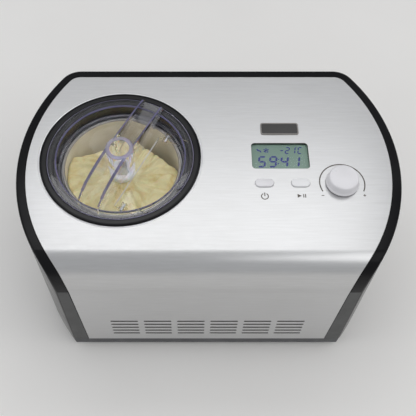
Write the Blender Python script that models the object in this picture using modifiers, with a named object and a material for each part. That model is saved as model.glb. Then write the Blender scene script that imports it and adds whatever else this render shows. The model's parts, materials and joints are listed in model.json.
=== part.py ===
"""A countertop compressor ice cream maker, built as an assembly of separate pieces.

Units are metres and +Z is up. The origin is on the ground at the middle of the body, the front
faces -Y and the mixing bowl is on the left.
"""

import math

import bmesh
import bpy
from mathutils import Matrix, Vector

MM = 0.001
GAP = 0.3 * MM  # clearance between pieces that touch

# Body
TOP = 210 * MM  # height of the flat top
FRONT = -136.5 * MM
BACK = 136.5 * MM
SIDE_RADIUS = 217.2 * MM  # plan radius of the bowed sides
SIDE_X = -4.7 * MM  # how far the centre of the right side's arc lies left of the middle
SIDE_Y = 1.5 * MM
CORNER = 26 * MM  # plan radius of the back corners
FLARE = 1.0 + 2.0 / 212.5  # how much wider the skirt is at its lower edge
BORDER = 10 * MM  # width of the black border around the steel panel
SEAM = 0.6 * MM
BEND_Y = -107.5 * MM  # where the flat top starts to bend down
BEND_RADIUS = 24 * MM
BEND_ANGLE = math.radians(78)
PANEL_FOOT = 146 * MM  # half the steel panel's width at its lower edge
BODY_FOOT = 25 * MM  # height of the lower edge of the panel and the housing
SHEET = 1.2 * MM
WALL = 2.5 * MM
TRAY_LOW = 8.5 * MM

# Bowl, lid and drive, all on one upright axis
BOWL_X = -98.2 * MM
BOWL_Y = 8.6 * MM
LID_ANGLE = math.radians(63.5)  # plan direction of the lid's handle
HATCH_EDGE = 20.6 * MM  # distance of the hatch's straight edge from the bowl's axis
HATCH_HALF = 51.9 * MM  # half the hatch's width along that edge
HATCH_BEYOND = 100 * MM  # clear of the lid's rim
HATCH_HEIGHTS = (TOP - 30 * MM, TOP + 10 * MM)
HINGE_V = 31 * MM
HINGE_Z = TOP - 11 * MM
FIN_V = 12 * MM  # distance of each handle fin from the bowl's axis

# Gears
MODULE = 1.5 * MM
TEETH_OUTPUT = 36
TEETH_SMALL = 10
TEETH_LARGE = 30
TEETH_PINION = 8
MESH_SLACK = 0.3 * MM

# Controls on the top
DISPLAY = (80.4 * MM, 9.6 * MM)
DISPLAY_SIZE = (64 * MM, 35 * MM)
NAMEPLATE = (81.9 * MM, 47 * MM)
POWER_BUTTON = (60.6 * MM, -27.2 * MM)
START_BUTTON = (100.1 * MM, -27.2 * MM)
BUTTON_SIZE = (21.2 * MM, 10.8 * MM)
KNOB = (145.3 * MM, -27 * MM)

# Refrigeration
COMPRESSOR = (95 * MM, 45 * MM)
COMPRESSOR_RADIUS = 52 * MM
FAN = (82 * MM, 76 * MM)  # x and z of the fan's axis
COIL_RADIUS = 74.8 * MM
COIL_TURNS = 4


def clear_scene():
    for obj in list(bpy.data.objects):
        bpy.data.objects.remove(obj)


def new_collection(name):
    group = bpy.data.collections.new(name)
    bpy.context.scene.collection.children.link(group)
    return group


clear_scene()
PARTS = new_collection("ice_cream_maker")
HELPERS = new_collection("cutters")
HELPERS.hide_render = True


def material(name, colour, roughness, metallic=0.0, transmission=0.0):
    finish = bpy.data.materials.new(name)
    finish.use_nodes = True
    shader = finish.node_tree.nodes["Principled BSDF"]
    shader.inputs["Base Color"].default_value = (*colour, 1)
    shader.inputs["Roughness"].default_value = roughness
    shader.inputs["Metallic"].default_value = metallic
    shader.inputs["Transmission Weight"].default_value = transmission
    finish.diffuse_color = (*colour, 1)
    return finish


STEEL = material("brushed_steel", (0.62, 0.62, 0.63), 0.32, 1.0)
BLACK = material("black_plastic", (0.012, 0.012, 0.014), 0.3)
DARK = material("dark_grey_plastic", (0.05, 0.052, 0.056), 0.5)
CLEAR = material("clear_plastic", (0.9, 0.91, 0.97), 0.05, 0.0, 0.9)
WHITE = material("white_plastic", (0.8, 0.8, 0.78), 0.4)
SILVER = material("silver_plastic", (0.62, 0.61, 0.63), 0.35)
ALUMINIUM = material("aluminium", (0.72, 0.72, 0.73), 0.35, 1.0)
RUBBER = material("rubber", (0.03, 0.03, 0.03), 0.8)
COPPER = material("copper", (0.72, 0.32, 0.18), 0.3, 1.0)
ENAMEL = material("black_enamel", (0.02, 0.02, 0.022), 0.35)
FOAM = material("insulation_foam", (0.75, 0.7, 0.55), 0.9)
BOARD = material("circuit_board", (0.03, 0.18, 0.08), 0.5)
GLASS = material("display_glass", (0.25, 0.33, 0.28), 0.15)
NYLON = material("nylon_gear", (0.75, 0.74, 0.68), 0.45)
ZINC = material("zinc_plate", (0.55, 0.55, 0.56), 0.4, 1.0)


# Shapes -----------------------------------------------------------------------------------------


def place(obj, finish, helper):
    """Puts a new object with the parts, or with the cutters when it is only a helper."""
    (HELPERS if helper else PARTS).objects.link(obj)
    if helper:
        obj.hide_render = True
        obj.display_type = "WIRE"
    elif finish:
        obj.data.materials.append(finish)
    return obj


def smooth(obj, degrees=35):
    obj.data.shade_smooth()
    obj.data.set_sharp_from_angle(angle=math.radians(degrees))
    return obj


def mesh_object(name, bm, finish=None, helper=False, origin=(0, 0, 0)):
    mesh = bpy.data.meshes.new(name)
    bm.to_mesh(mesh)
    bm.free()
    obj = place(bpy.data.objects.new(name, mesh), finish, helper)
    obj.location = origin
    return obj


def box(name, low, high, finish=None, helper=False, turn=0.0, centre=(0, 0)):
    """A box between two corners. It is turned about the upright axis through centre."""
    low, high = Vector(low), Vector(high)
    bm = bmesh.new()
    bmesh.ops.create_cube(bm, size=1.0)
    bmesh.ops.scale(bm, vec=high - low, verts=bm.verts)
    bmesh.ops.translate(bm, vec=(low + high) / 2, verts=bm.verts)
    bmesh.ops.rotate(bm, matrix=Matrix.Rotation(turn, 3, "Z"), verts=bm.verts)
    bmesh.ops.translate(bm, vec=(*centre, 0), verts=bm.verts)
    return mesh_object(name, bm, finish, helper)


def rod(name, start, end, radius, finish=None, helper=False, segments=24):
    """A round bar between two points."""
    start, end = Vector(start), Vector(end)
    bm = bmesh.new()
    bmesh.ops.create_cone(
        bm, cap_ends=True, segments=segments, radius1=radius, radius2=radius, depth=(end - start).length
    )
    obj = mesh_object(name, bm, finish, helper, (start + end) / 2)
    obj.rotation_euler = (end - start).to_track_quat("Z", "Y").to_euler()
    return smooth(obj)


def turned(name, profile, finish=None, helper=False, origin=(0, 0, 0), steps=32, tilt=None):
    """A turned shape about Z from (radius, height) points that run down the outer side. A profile
    that starts and ends on the axis stays open there, and any other is closed into a ring."""
    bm = bmesh.new()
    points = [bm.verts.new((radius, 0, height)) for radius, height in profile]
    for first, second in zip(points, points[1:]):
        bm.edges.new((first, second))
    if profile[0][0] > 0:
        bm.edges.new((points[-1], points[0]))
    obj = mesh_object(name, bm, finish, helper, origin)
    screw = obj.modifiers.new("turn", "SCREW")
    screw.steps = screw.render_steps = steps
    screw.use_merge_vertices = True
    screw.merge_threshold = 0.00001
    screw.use_smooth_shade = False
    if tilt:
        obj.rotation_euler = tilt
    return obj


def plate(name, outlines, low, high, finish=None, helper=False, matrix=None):
    """A flat piece between two heights from closed XY outlines: its edge first, then its holes."""
    curve = bpy.data.curves.new(name + "_outline", "CURVE")
    curve.dimensions = "2D"
    curve.fill_mode = "BOTH"
    curve.extrude = (high - low) / 2
    for outline in outlines:
        spline = curve.splines.new("POLY")
        spline.points.add(len(outline) - 1)
        for point, (x, y) in zip(spline.points, outline):
            point.co = (x, y, 0, 1)
        spline.use_cyclic_u = True
    draft = bpy.data.objects.new(name + "_outline", curve)
    draft.matrix_world = (matrix or Matrix()) @ Matrix.Translation((0, 0, (low + high) / 2))
    HELPERS.objects.link(draft)
    bpy.context.view_layer.update()
    graph = bpy.context.evaluated_depsgraph_get()
    mesh = bpy.data.meshes.new_from_object(draft.evaluated_get(graph))
    mesh.name = name
    obj = bpy.data.objects.new(name, mesh)
    obj.matrix_world = draft.matrix_world.copy()
    bpy.data.objects.remove(draft)
    bm = bmesh.new()
    bm.from_mesh(mesh)
    bmesh.ops.remove_doubles(bm, verts=bm.verts, dist=0.001 * MM)
    bmesh.ops.recalc_face_normals(bm, faces=bm.faces)
    bm.to_mesh(mesh)
    bm.free()
    return place(obj, finish, helper)


def pipe(name, points, radius, finish):
    """A tube along points, with closed ends."""
    curve = bpy.data.curves.new(name, "CURVE")
    curve.dimensions = "3D"
    curve.bevel_depth = radius
    curve.bevel_resolution = 2
    curve.use_fill_caps = True
    spline = curve.splines.new("POLY")
    spline.points.add(len(points) - 1)
    for point, position in zip(spline.points, points):
        point.co = (*position, 1)
    return place(bpy.data.objects.new(name, curve), finish, False)


def route(corners, per_span=3):
    """Points of a smooth curve through the corners (a Catmull-Rom spline), as bent pipe runs."""
    knots = [Vector(corner) * MM for corner in corners]
    padded = [2 * knots[0] - knots[1], *knots, 2 * knots[-1] - knots[-2]]
    points = []
    for a, b, c, d in zip(padded, padded[1:], padded[2:], padded[3:]):
        for step in range(per_span):
            t = step / per_span
            square = (2 * a - 5 * b + 4 * c - d) * t**2
            cube = (3 * b - a - 3 * c + d) * t**3
            points.append(0.5 * (2 * b + (c - a) * t + square + cube))
    return points + [knots[-1]]


def combine(obj, others, operation):
    for other in others:
        step = obj.modifiers.new(other.name, "BOOLEAN")
        step.operation = operation
        step.object = other
        step.solver = "EXACT"
    return obj


def cut(obj, *cutters):
    return combine(obj, cutters, "DIFFERENCE")


def join(obj, *others):
    return combine(obj, others, "UNION")


def stadium(centre, size, steps=4):
    """A slot outline with round ends, longer along x."""
    x, y = centre
    radius = size[1] / 2
    reach = size[0] / 2 - radius
    outline = []
    for side, start in ((1, -90), (-1, 90)):
        for step in range(steps + 1):
            angle = math.radians(start + 180 * step / steps)
            outline.append((x + side * reach + radius * math.cos(angle), y + radius * math.sin(angle)))
    return outline


def rounded_rectangle(centre, size, radius, steps=4):
    x, y = centre
    outline = []
    for quarter, (sx, sy) in enumerate(((1, 1), (-1, 1), (-1, -1), (1, -1))):
        for step in range(steps + 1):
            angle = math.radians(90 * quarter + 90 * step / steps)
            outline.append(
                (
                    x + sx * (size[0] / 2 - radius) + radius * math.cos(angle),
                    y + sy * (size[1] / 2 - radius) + radius * math.sin(angle),
                )
            )
    return outline


def circle(centre, radius, segments=24):
    turns = [2 * math.pi * step / segments for step in range(segments)]
    return [(centre[0] + radius * math.cos(a), centre[1] + radius * math.sin(a)) for a in turns]


# Body outline -----------------------------------------------------------------------------------


def half_width(y, inset=0.0):
    """Half the body's width at depth y, that far inside its edge."""
    return SIDE_X + math.sqrt((SIDE_RADIUS - inset) ** 2 - (y - SIDE_Y) ** 2)


def corner_centre():
    y = BACK - CORNER
    return SIDE_X + math.sqrt((SIDE_RADIUS - CORNER) ** 2 - (y - SIDE_Y) ** 2), y


def right_edge(inset, start_y, side_steps=8, corner_steps=4):
    """Plan points of the right side from start_y round the back corner, on the edge less inset."""
    centre_x, centre_y = corner_centre()
    tangent = math.atan2(centre_y - SIDE_Y, centre_x - SIDE_X)
    radius = CORNER - inset
    end_y = centre_y + radius * math.sin(tangent)
    edge = []
    for step in range(side_steps):
        y = start_y + (end_y - start_y) * step / side_steps
        edge.append((half_width(y, inset), y))
    for step in range(corner_steps + 1):
        angle = tangent + (math.pi / 2 - tangent) * step / corner_steps
        edge.append((centre_x + radius * math.cos(angle), centre_y + radius * math.sin(angle)))
    return edge


def bend(steps=6):
    """(y, z) points of the outer surface from the crease on the front face up to the flat top."""
    arc = []
    for step in range(steps + 1):
        angle = BEND_ANGLE * (1 - step / steps)
        y = BEND_Y - BEND_RADIUS * math.sin(angle)
        arc.append((y, TOP - BEND_RADIUS * (1 - math.cos(angle))))
    y, z = arc[0]
    crease = (FRONT, z - (y - FRONT) * math.tan(BEND_ANGLE))
    return [crease, *arc]


def body_outline(inset):
    """The body's whole plan outline, a little wider than the top, as at its lower edge."""
    right = right_edge(inset, FRONT + inset)
    return [(x * FLARE, y) for x, y in right] + [(-x * FLARE, y) for x, y in reversed(right)]


# Casing -----------------------------------------------------------------------------------------

# Turns an outline drawn in XY upright: its Y becomes height and its depth runs towards the front.
UPRIGHT = Matrix.Rotation(math.pi / 2, 4, "X")

REAR_CENTRE = (0, 115 * MM)  # x and z
REAR_WINDOW = (256 * MM, 126 * MM)
REAR_SCREWS = [(sx * 132 * MM, 115 * MM + sz * 67 * MM) for sx in (-1, 1) for sz in (-1, 1)]
GLAND = (110 * MM, 66 * MM)

VENT_BLOCKS = 6
VENT_ROWS = 5
VENT_LENGTH = 32.4 * MM
VENT_HEIGHT = 3 * MM
VENT_PITCH_X = 39 * MM
VENT_PITCH_Z = 9.6 * MM
VENT_TOP = TOP - 127.5 * MM


def make_panel():
    """The bent stainless panel: flat top, bend, and front with its air slots."""
    inset = BORDER + SEAM
    rows = [(PANEL_FOOT, FRONT, BODY_FOOT)]
    rows += [(half_width(y, inset), y, z) for y, z in bend()]
    rows += [(x, y, TOP) for x, y in right_edge(inset, BEND_Y)[1:]]
    bm = bmesh.new()
    pairs = [(bm.verts.new((-x, y, z)), bm.verts.new((x, y, z))) for x, y, z in rows]
    for (left, right), (next_left, next_right) in zip(pairs, pairs[1:]):
        bm.faces.new((left, right, next_right, next_left))
    panel = mesh_object("top_front_panel", bm, STEEL)
    sheet = panel.modifiers.new("sheet", "SOLIDIFY")
    sheet.thickness = SHEET
    sheet.offset = -1
    sheet.use_even_offset = True

    low, high = TOP - 5 * MM, TOP + 5 * MM
    bowl_hole = rod("bowl_hole", (BOWL_X, BOWL_Y, low), (BOWL_X, BOWL_Y, high), 85 * MM, None, True, 48)
    control_holes = [
        rounded_rectangle(DISPLAY, DISPLAY_SIZE, 4 * MM),
        stadium(POWER_BUTTON, BUTTON_SIZE),
        stadium(START_BUTTON, BUTTON_SIZE),
        circle(KNOB, 4.8 * MM, 16),
    ]
    controls = plate("control_holes", control_holes, low, high, None, True)
    slots = []
    for row in range(VENT_ROWS):
        for block in range(VENT_BLOCKS):
            x = (block - (VENT_BLOCKS - 1) / 2) * VENT_PITCH_X
            slots.append(stadium((x, VENT_TOP - row * VENT_PITCH_Z), (VENT_LENGTH, VENT_HEIGHT), 3))
    vents = plate("vents", slots, -FRONT - 6 * MM, -FRONT + 4 * MM, None, True, UPRIGHT)
    return cut(panel, bowl_hole, controls, vents)


def make_housing():
    """The black moulding: a border around the steel, both side walls and the back wall."""
    crease, *arc = bend()
    rows = [((half_width(y, BORDER), y, z), (half_width(y), y, z)) for y, z in (crease, *arc)]
    inner = right_edge(BORDER, BEND_Y)[1:]
    outer = right_edge(0, BEND_Y)[1:]
    rows += [((*a, TOP), (*b, TOP)) for a, b in zip(inner, outer)]
    rows.append(((0, BACK - BORDER, TOP), (0, BACK, TOP)))
    bm = bmesh.new()
    foot = (
        bm.verts.new((PANEL_FOOT + SEAM, FRONT, BODY_FOOT)),
        bm.verts.new((half_width(FRONT) * FLARE, FRONT, BODY_FOOT)),
    )
    ribs = []
    for inside, outside in rows:
        skirt = (outside[0] * FLARE, outside[1], BODY_FOOT)
        low = bm.verts.new(skirt) if ribs else foot[1]
        ribs.append((bm.verts.new(inside), bm.verts.new(outside), low))
    bm.faces.new((foot[0], foot[1], ribs[0][1], ribs[0][0]))
    for (a, b, c), (next_a, next_b, next_c) in zip(ribs, ribs[1:]):
        bm.faces.new((a, b, next_b, next_a))
        bm.faces.new((b, c, next_c, next_b))
    housing = mesh_object("outer_housing", bm, BLACK)
    mirror = housing.modifiers.new("mirror", "MIRROR")
    mirror.merge_threshold = 0.00001
    edge = housing.modifiers.new("edge", "BEVEL")
    edge.width = 2 * MM
    edge.segments = 2
    edge.limit_method = "ANGLE"
    edge.angle_limit = math.radians(40)
    wall = housing.modifiers.new("wall", "SOLIDIFY")
    wall.thickness = WALL
    wall.offset = -1
    wall.use_even_offset = True

    window = rounded_rectangle(REAR_CENTRE, REAR_WINDOW, 8 * MM)
    opening = plate("rear_opening", [window], -BACK - 5 * MM, -BACK + 8 * MM, None, True, UPRIGHT)
    shanks = [circle(point, 1.9 * MM, 12) for point in REAR_SCREWS]
    heads = [circle(point, 3.4 * MM, 16) for point in REAR_SCREWS]
    shank_holes = plate("shank_holes", shanks, -BACK - 5 * MM, -BACK + 8 * MM, None, True, UPRIGHT)
    head_holes = plate("head_holes", heads, -BACK - 5 * MM, -BACK + 1.5 * MM, None, True, UPRIGHT)
    return cut(housing, opening, shank_holes, head_holes)


def make_rear_parts():
    """The back cover with its exhaust slots, its screws, and the gland for the supply lead."""
    x, z = REAR_CENTRE
    outline = rounded_rectangle(REAR_CENTRE, (REAR_WINDOW[0] + 16 * MM, REAR_WINDOW[1] + 16 * MM), 8 * MM)
    holes = [circle(point, 1.9 * MM, 12) for point in REAR_SCREWS]
    holes.append(circle(GLAND, 6.3 * MM, 20))
    for row in range(6):
        for block in range(3):
            centre = (x + (block - 1) * 80 * MM, z + 50 * MM - row * 11 * MM)
            holes.append(stadium(centre, (70 * MM, 3.6 * MM), 2))
    outer = -BACK + WALL + GAP
    plate("rear_cover", [outline, *holes], outer, outer + WALL, DARK, matrix=UPRIGHT)
    for number, (screw_x, screw_z) in enumerate(REAR_SCREWS, 1):
        head = [(0, 1.3 * MM), (2.2 * MM, 1.3 * MM), (3.1 * MM, 0.7 * MM), (3.1 * MM, 0)]
        shank = [(1.6 * MM, 0), (1.6 * MM, -9 * MM), (0.6 * MM, -10 * MM), (0, -10 * MM)]
        turned(
            f"rear_screw_{number}",
            head + shank,
            ZINC,
            origin=(screw_x, BACK - 1.4 * MM, screw_z),
            steps=10,
            tilt=(-math.pi / 2, 0, 0),
        )
    flange = [(8.5 * MM, 2.2 * MM), (8.5 * MM, 0), (6 * MM, 0), (6 * MM, -9 * MM), (3.6 * MM, -9 * MM)]
    turned(
        "cord_gland",
        [(7.5 * MM, 2.5 * MM), *flange, (3.6 * MM, 2.5 * MM)],
        RUBBER,
        origin=(GLAND[0], -outer + GAP, GLAND[1]),
        steps=16,
        tilt=(-math.pi / 2, 0, 0),
    )


def make_base():
    """The tray that carries everything, on four rubber feet."""
    tray = plate("base_tray", [body_outline(0.8 * MM)], TRAY_LOW, BODY_FOOT - 0.7 * MM, DARK)
    hollow = plate("tray_hollow", [body_outline(3.3 * MM)], TRAY_LOW + WALL, BODY_FOOT + 5 * MM, None, True)
    cut(tray, hollow)
    foot = [(0, TRAY_LOW - GAP), (10 * MM, TRAY_LOW - GAP), (11.5 * MM, 1 * MM), (10.5 * MM, 0), (0, 0)]
    for side, x in (("left", -1), ("right", 1)):
        for end, y in (("front", -112 * MM), ("back", 112 * MM)):
            turned(f"foot_{end}_{side}", foot, RUBBER, origin=(x * 145 * MM, y, 0), steps=16)


# Bowl side --------------------------------------------------------------------------------------


def at_bowl(z=0.0):
    return (BOWL_X, BOWL_Y, z)


def above_top(points):
    """Profile points given in millimetres, with heights measured from the flat top."""
    return [(radius * MM, TOP + height * MM) for radius, height in points]


def heights(points):
    """Profile points given in millimetres, with heights measured from the ground."""
    return [(radius * MM, height * MM) for radius, height in points]


def make_collar():
    lip = [(88.6, 1.3), (90, 0.9), (90, 0.3), (84.5, 0.3), (84.5, -21)]
    seat = [(68.6, -21), (68.6, -19), (77, -19), (77, -2.8), (82.6, -2.8), (82.6, 0.9), (83, 1.3)]
    turned("bowl_collar", above_top(lip + seat), DARK, origin=at_bowl(), steps=40)


def make_cooling():
    """The well that takes the bowl, the evaporator coil around it and the foam around that."""
    flange = [(76, 188.7), (76, 187.2), (69.6, 187.2)]
    cup = [(69.6, 69.9), (10, 69.9), (10, 71.4), (68.2, 71.4), (68.2, 188.7)]
    turned("cooling_well", heights(flange + cup), ALUMINIUM, origin=at_bowl(), steps=32)

    low, high = 85 * MM, 165 * MM
    lead = [(97, 11), (88, 11), (81, 8.5), (76.6, 4)]  # radial run of each end through the foam
    points = [(BOWL_X + x * MM, BOWL_Y - y * MM, low) for x, y in lead]
    per_turn = 16
    for step in range(COIL_TURNS * per_turn + 1):
        angle = 2 * math.pi * step / per_turn
        z = low + (high - low) * step / (COIL_TURNS * per_turn)
        points.append((BOWL_X + COIL_RADIUS * math.cos(angle), BOWL_Y + COIL_RADIUS * math.sin(angle), z))
    points += [(BOWL_X + x * MM, BOWL_Y + y * MM, high) for x, y in reversed(lead)]
    pipe("evaporator_coil", points, 3.4 * MM, COPPER)

    ring = heights([(92, 180), (92, 75), (80, 75), (80, 180)])
    jacket = turned("insulation_jacket", ring, FOAM, origin=at_bowl(), steps=36)
    slot = box(
        "jacket_slot",
        (BOWL_X + 65 * MM, BOWL_Y - 19 * MM, 78 * MM),
        (BOWL_X + 100 * MM, BOWL_Y + 19 * MM, 172 * MM),
        helper=True,
    )
    cut(jacket, slot)


def make_bowl():
    outside = [(67.5, 193), (67.5, 191), (66, 190), (66, 75), (63, 72), (7, 72)]
    spindle = [(7, 132), (9, 132), (9, 76), (11, 74)]
    inside = [(61, 74), (64.4, 77.5), (64.4, 191.8), (65.4, 193)]
    turned("mixing_bowl", heights(outside + spindle + inside), ALUMINIUM, origin=at_bowl(), steps=36)


def make_paddle():
    """The stirrer: a hub that drops over the bowl's spindle, and two open blades."""
    head = [(0, 176), (5, 176), (5, 185), (12.8, 185), (14.5, 183.5), (14.5, 178), (12.5, 175)]
    bore = [(12.5, 80), (13.5, 76), (9.7, 76), (9.7, 133), (0, 133)]
    paddle = turned("paddle", heights(head + bore), WHITE, origin=at_bowl(), steps=20)
    blade = heights([(11, 77), (57, 77), (61.5, 81), (61.5, 146), (54, 152), (11, 160)])
    window = heights([(20, 90), (50, 90), (52, 93), (52, 136), (20, 142)])
    for name, side in (("right_blade", 0), ("left_blade", math.pi)):
        matrix = Matrix.Translation(at_bowl()) @ Matrix.Rotation(side, 4, "Z") @ UPRIGHT
        join(paddle, plate(name, [blade, window], -1.3 * MM, 1.3 * MM, None, True, matrix))
    half = 4.45 * MM
    socket = box("socket", (-half, -half, 125 * MM), (half, half, 148 * MM), None, True, 0, (BOWL_X, BOWL_Y))
    cut(paddle, socket)


# Lid --------------------------------------------------------------------------------------------


def lid_matrix():
    """The lid's own frame: U along the handle, V across it towards the hatch, W up."""
    return Matrix.Translation(at_bowl()) @ Matrix.Rotation(LID_ANGLE - math.pi, 4, "Z")


def lid_box(name, u, v, w, helper=True, finish=None):
    """A box from ranges along and across the handle and of height."""
    low = (-u[1], v[0], w[0])
    high = (-u[0], v[1], w[1])
    return box(name, low, high, finish, helper, LID_ANGLE - math.pi, (BOWL_X, BOWL_Y))


def lid_point(u, v, w):
    return lid_matrix() @ Vector((-u, v, w))


def lid_profile():
    """Section of the dished cover, with the hub in its middle and the paddle's pivot below it."""
    hub = [(0, -14), (11, -14), (11, 16), (15.5, 16), (15.5, -14)]
    rim = [(71.3, -14), (71.3, 0.9), (81.6, 0.9), (82, 0.5)]
    skirt = [(82, -2.2), (80.2, -2.2), (80.2, -1), (73.5, -1), (73.5, -16)]
    pivot = [(4, -16), (4, -30), (3.5, -30.5), (0, -30.5)]
    return above_top(hub + rim + skirt + pivot)


def fin_outline():
    """Side view of a handle fin: high over the far rim, and falling steeply to the near one."""
    far = [(72, -15), (72, 0.2), (77, 0.2), (77, 9.5), (74, 11.5), (58, 12.9), (38, 14.2), (12, 15.4)]
    near = [(-10, 16), (-22, 15.6), (-36, 13.8), (-52, 10.6), (-63, 5.6), (-71, 0.2), (-72, -15)]
    return [(-u * MM, TOP + w * MM) for u, w in far + near]


def make_lid():
    """The clear lid: a dished cover with an arched handle, a hub and a cut-out for the hatch."""
    lid = turned("lid", lid_profile(), CLEAR, origin=at_bowl(), steps=40)
    reach = HATCH_HALF + GAP
    cut(lid, lid_box("hatch_gap", (-reach, reach), (HATCH_EDGE - GAP, HATCH_BEYOND), HATCH_HEIGHTS))
    pieces = []
    for name, v in (("left_fin", -FIN_V), ("right_fin", FIN_V)):
        matrix = lid_matrix() @ UPRIGHT
        pieces.append(plate(name, [fin_outline()], -v - 1 * MM, -v + 1 * MM, None, True, matrix))
    ramp = [(80, 2.8), (78, 2.8), (57, -8), (57, -10), (58.5, -10), (80, 0.6)]
    ramp = [(-u * MM, TOP + w * MM) for u, w in ramp]
    reach = FIN_V + 0.5 * MM
    pieces.append(plate("handle_ramp", [ramp], -reach, reach, None, True, lid_matrix() @ UPRIGHT))
    bosses = []
    for name, side in (("far_boss", 1), ("near_boss", -1)):
        low, high = sorted((side * (HATCH_HALF + 0.6 * MM), side * (HATCH_HALF + 5.6 * MM)))
        spread = (HINGE_V - 3 * MM, HINGE_V + 3 * MM)
        bosses.append(lid_box(name, (low, high), spread, (TOP - 15 * MM, TOP - 8 * MM)))
    join(lid, *pieces, *bosses)
    cut(lid, pin_bore("lid_pin_bore"))

    ring = above_top([(74.3, -16.4), (74.3, -18.6), (70.5, -18.6), (70.5, -16.4)])
    turned("lid_seal", ring, WHITE, origin=at_bowl(), steps=32)


def pin_bore(name):
    reach = HATCH_HALF + 5 * MM
    start, end = lid_point(-reach, HINGE_V, HINGE_Z), lid_point(reach, HINGE_V, HINGE_Z)
    return rod(name, start, end, 1.8 * MM, None, True, 12)


def make_hatch():
    """The part of the lid that swings up to let ingredients in, and its two pins."""
    hatch = turned("fill_hatch", lid_profile(), CLEAR, origin=at_bowl(), steps=40)
    whole = lid_box("hatch_piece", (-HATCH_HALF, HATCH_HALF), (HATCH_EDGE, HATCH_BEYOND), HATCH_HEIGHTS)
    combine(hatch, [whole], "INTERSECT")
    almond = [(-13, 76.6), (-7, 75), (7, 75), (13, 76.6), (8, 80.6), (-8, 80.6)]
    almond = [(u * MM, v * MM) for u, v in almond]
    tab = plate("hatch_tab", [almond], TOP + 0.4 * MM, TOP + 2.6 * MM, None, True, lid_matrix())
    knuckles = []
    for name, side in (("far", 1), ("near", -1)):
        low, high = sorted((side * (HATCH_HALF - 5.6 * MM), side * (HATCH_HALF - 0.2 * MM)))
        spread = (HINGE_V - 3 * MM, HINGE_V + 3 * MM)
        knuckles.append(lid_box(name + "_knuckle", (low, high), spread, (TOP - 15 * MM, TOP - 8 * MM)))
        start = lid_point(side * (HATCH_HALF - 4.8 * MM), HINGE_V, HINGE_Z)
        end = lid_point(side * (HATCH_HALF + 4.6 * MM), HINGE_V, HINGE_Z)
        rod(f"hatch_pin_{name}", start, end, 1.5 * MM, ZINC, segments=12)
    join(hatch, tab, *knuckles)
    cut(hatch, pin_bore("hatch_pin_bore"))


# Drive under the bowl ---------------------------------------------------------------------------


def gear_centre(start, teeth, degrees):
    """Centre of the next gear of a pair, at an angle seen from the start."""
    distance = MODULE * sum(teeth) / 2 + MESH_SLACK
    angle = math.radians(degrees)
    return start[0] + distance * math.cos(angle), start[1] + distance * math.sin(angle)


IDLER_ANGLE = 40
PINION_ANGLE = -60
OUTPUT = (BOWL_X, BOWL_Y)
IDLER = gear_centre(OUTPUT, (TEETH_OUTPUT, TEETH_SMALL), IDLER_ANGLE)
PINION = gear_centre(IDLER, (TEETH_LARGE, TEETH_PINION), PINION_ANGLE)
GEARBOX = (BOWL_X + 14 * MM, BOWL_Y + 8 * MM)


def gear_outline(teeth, degrees, gap=False):
    """Straight-sided teeth, with a tooth, or a gap, facing the given direction."""
    pitch = 2 * math.pi / teeth
    start = math.radians(degrees) + (pitch / 2 if gap else 0)
    radius = MODULE * teeth / 2
    root, tip = radius - 1.2 * MODULE, radius + 0.85 * MODULE
    outline = []
    for tooth in range(teeth):
        for distance, side in ((root, -0.30), (tip, -0.12), (tip, 0.12), (root, 0.30)):
            angle = start + (tooth + side) * pitch
            outline.append((distance * math.cos(angle), distance * math.sin(angle)))
    return outline


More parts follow.
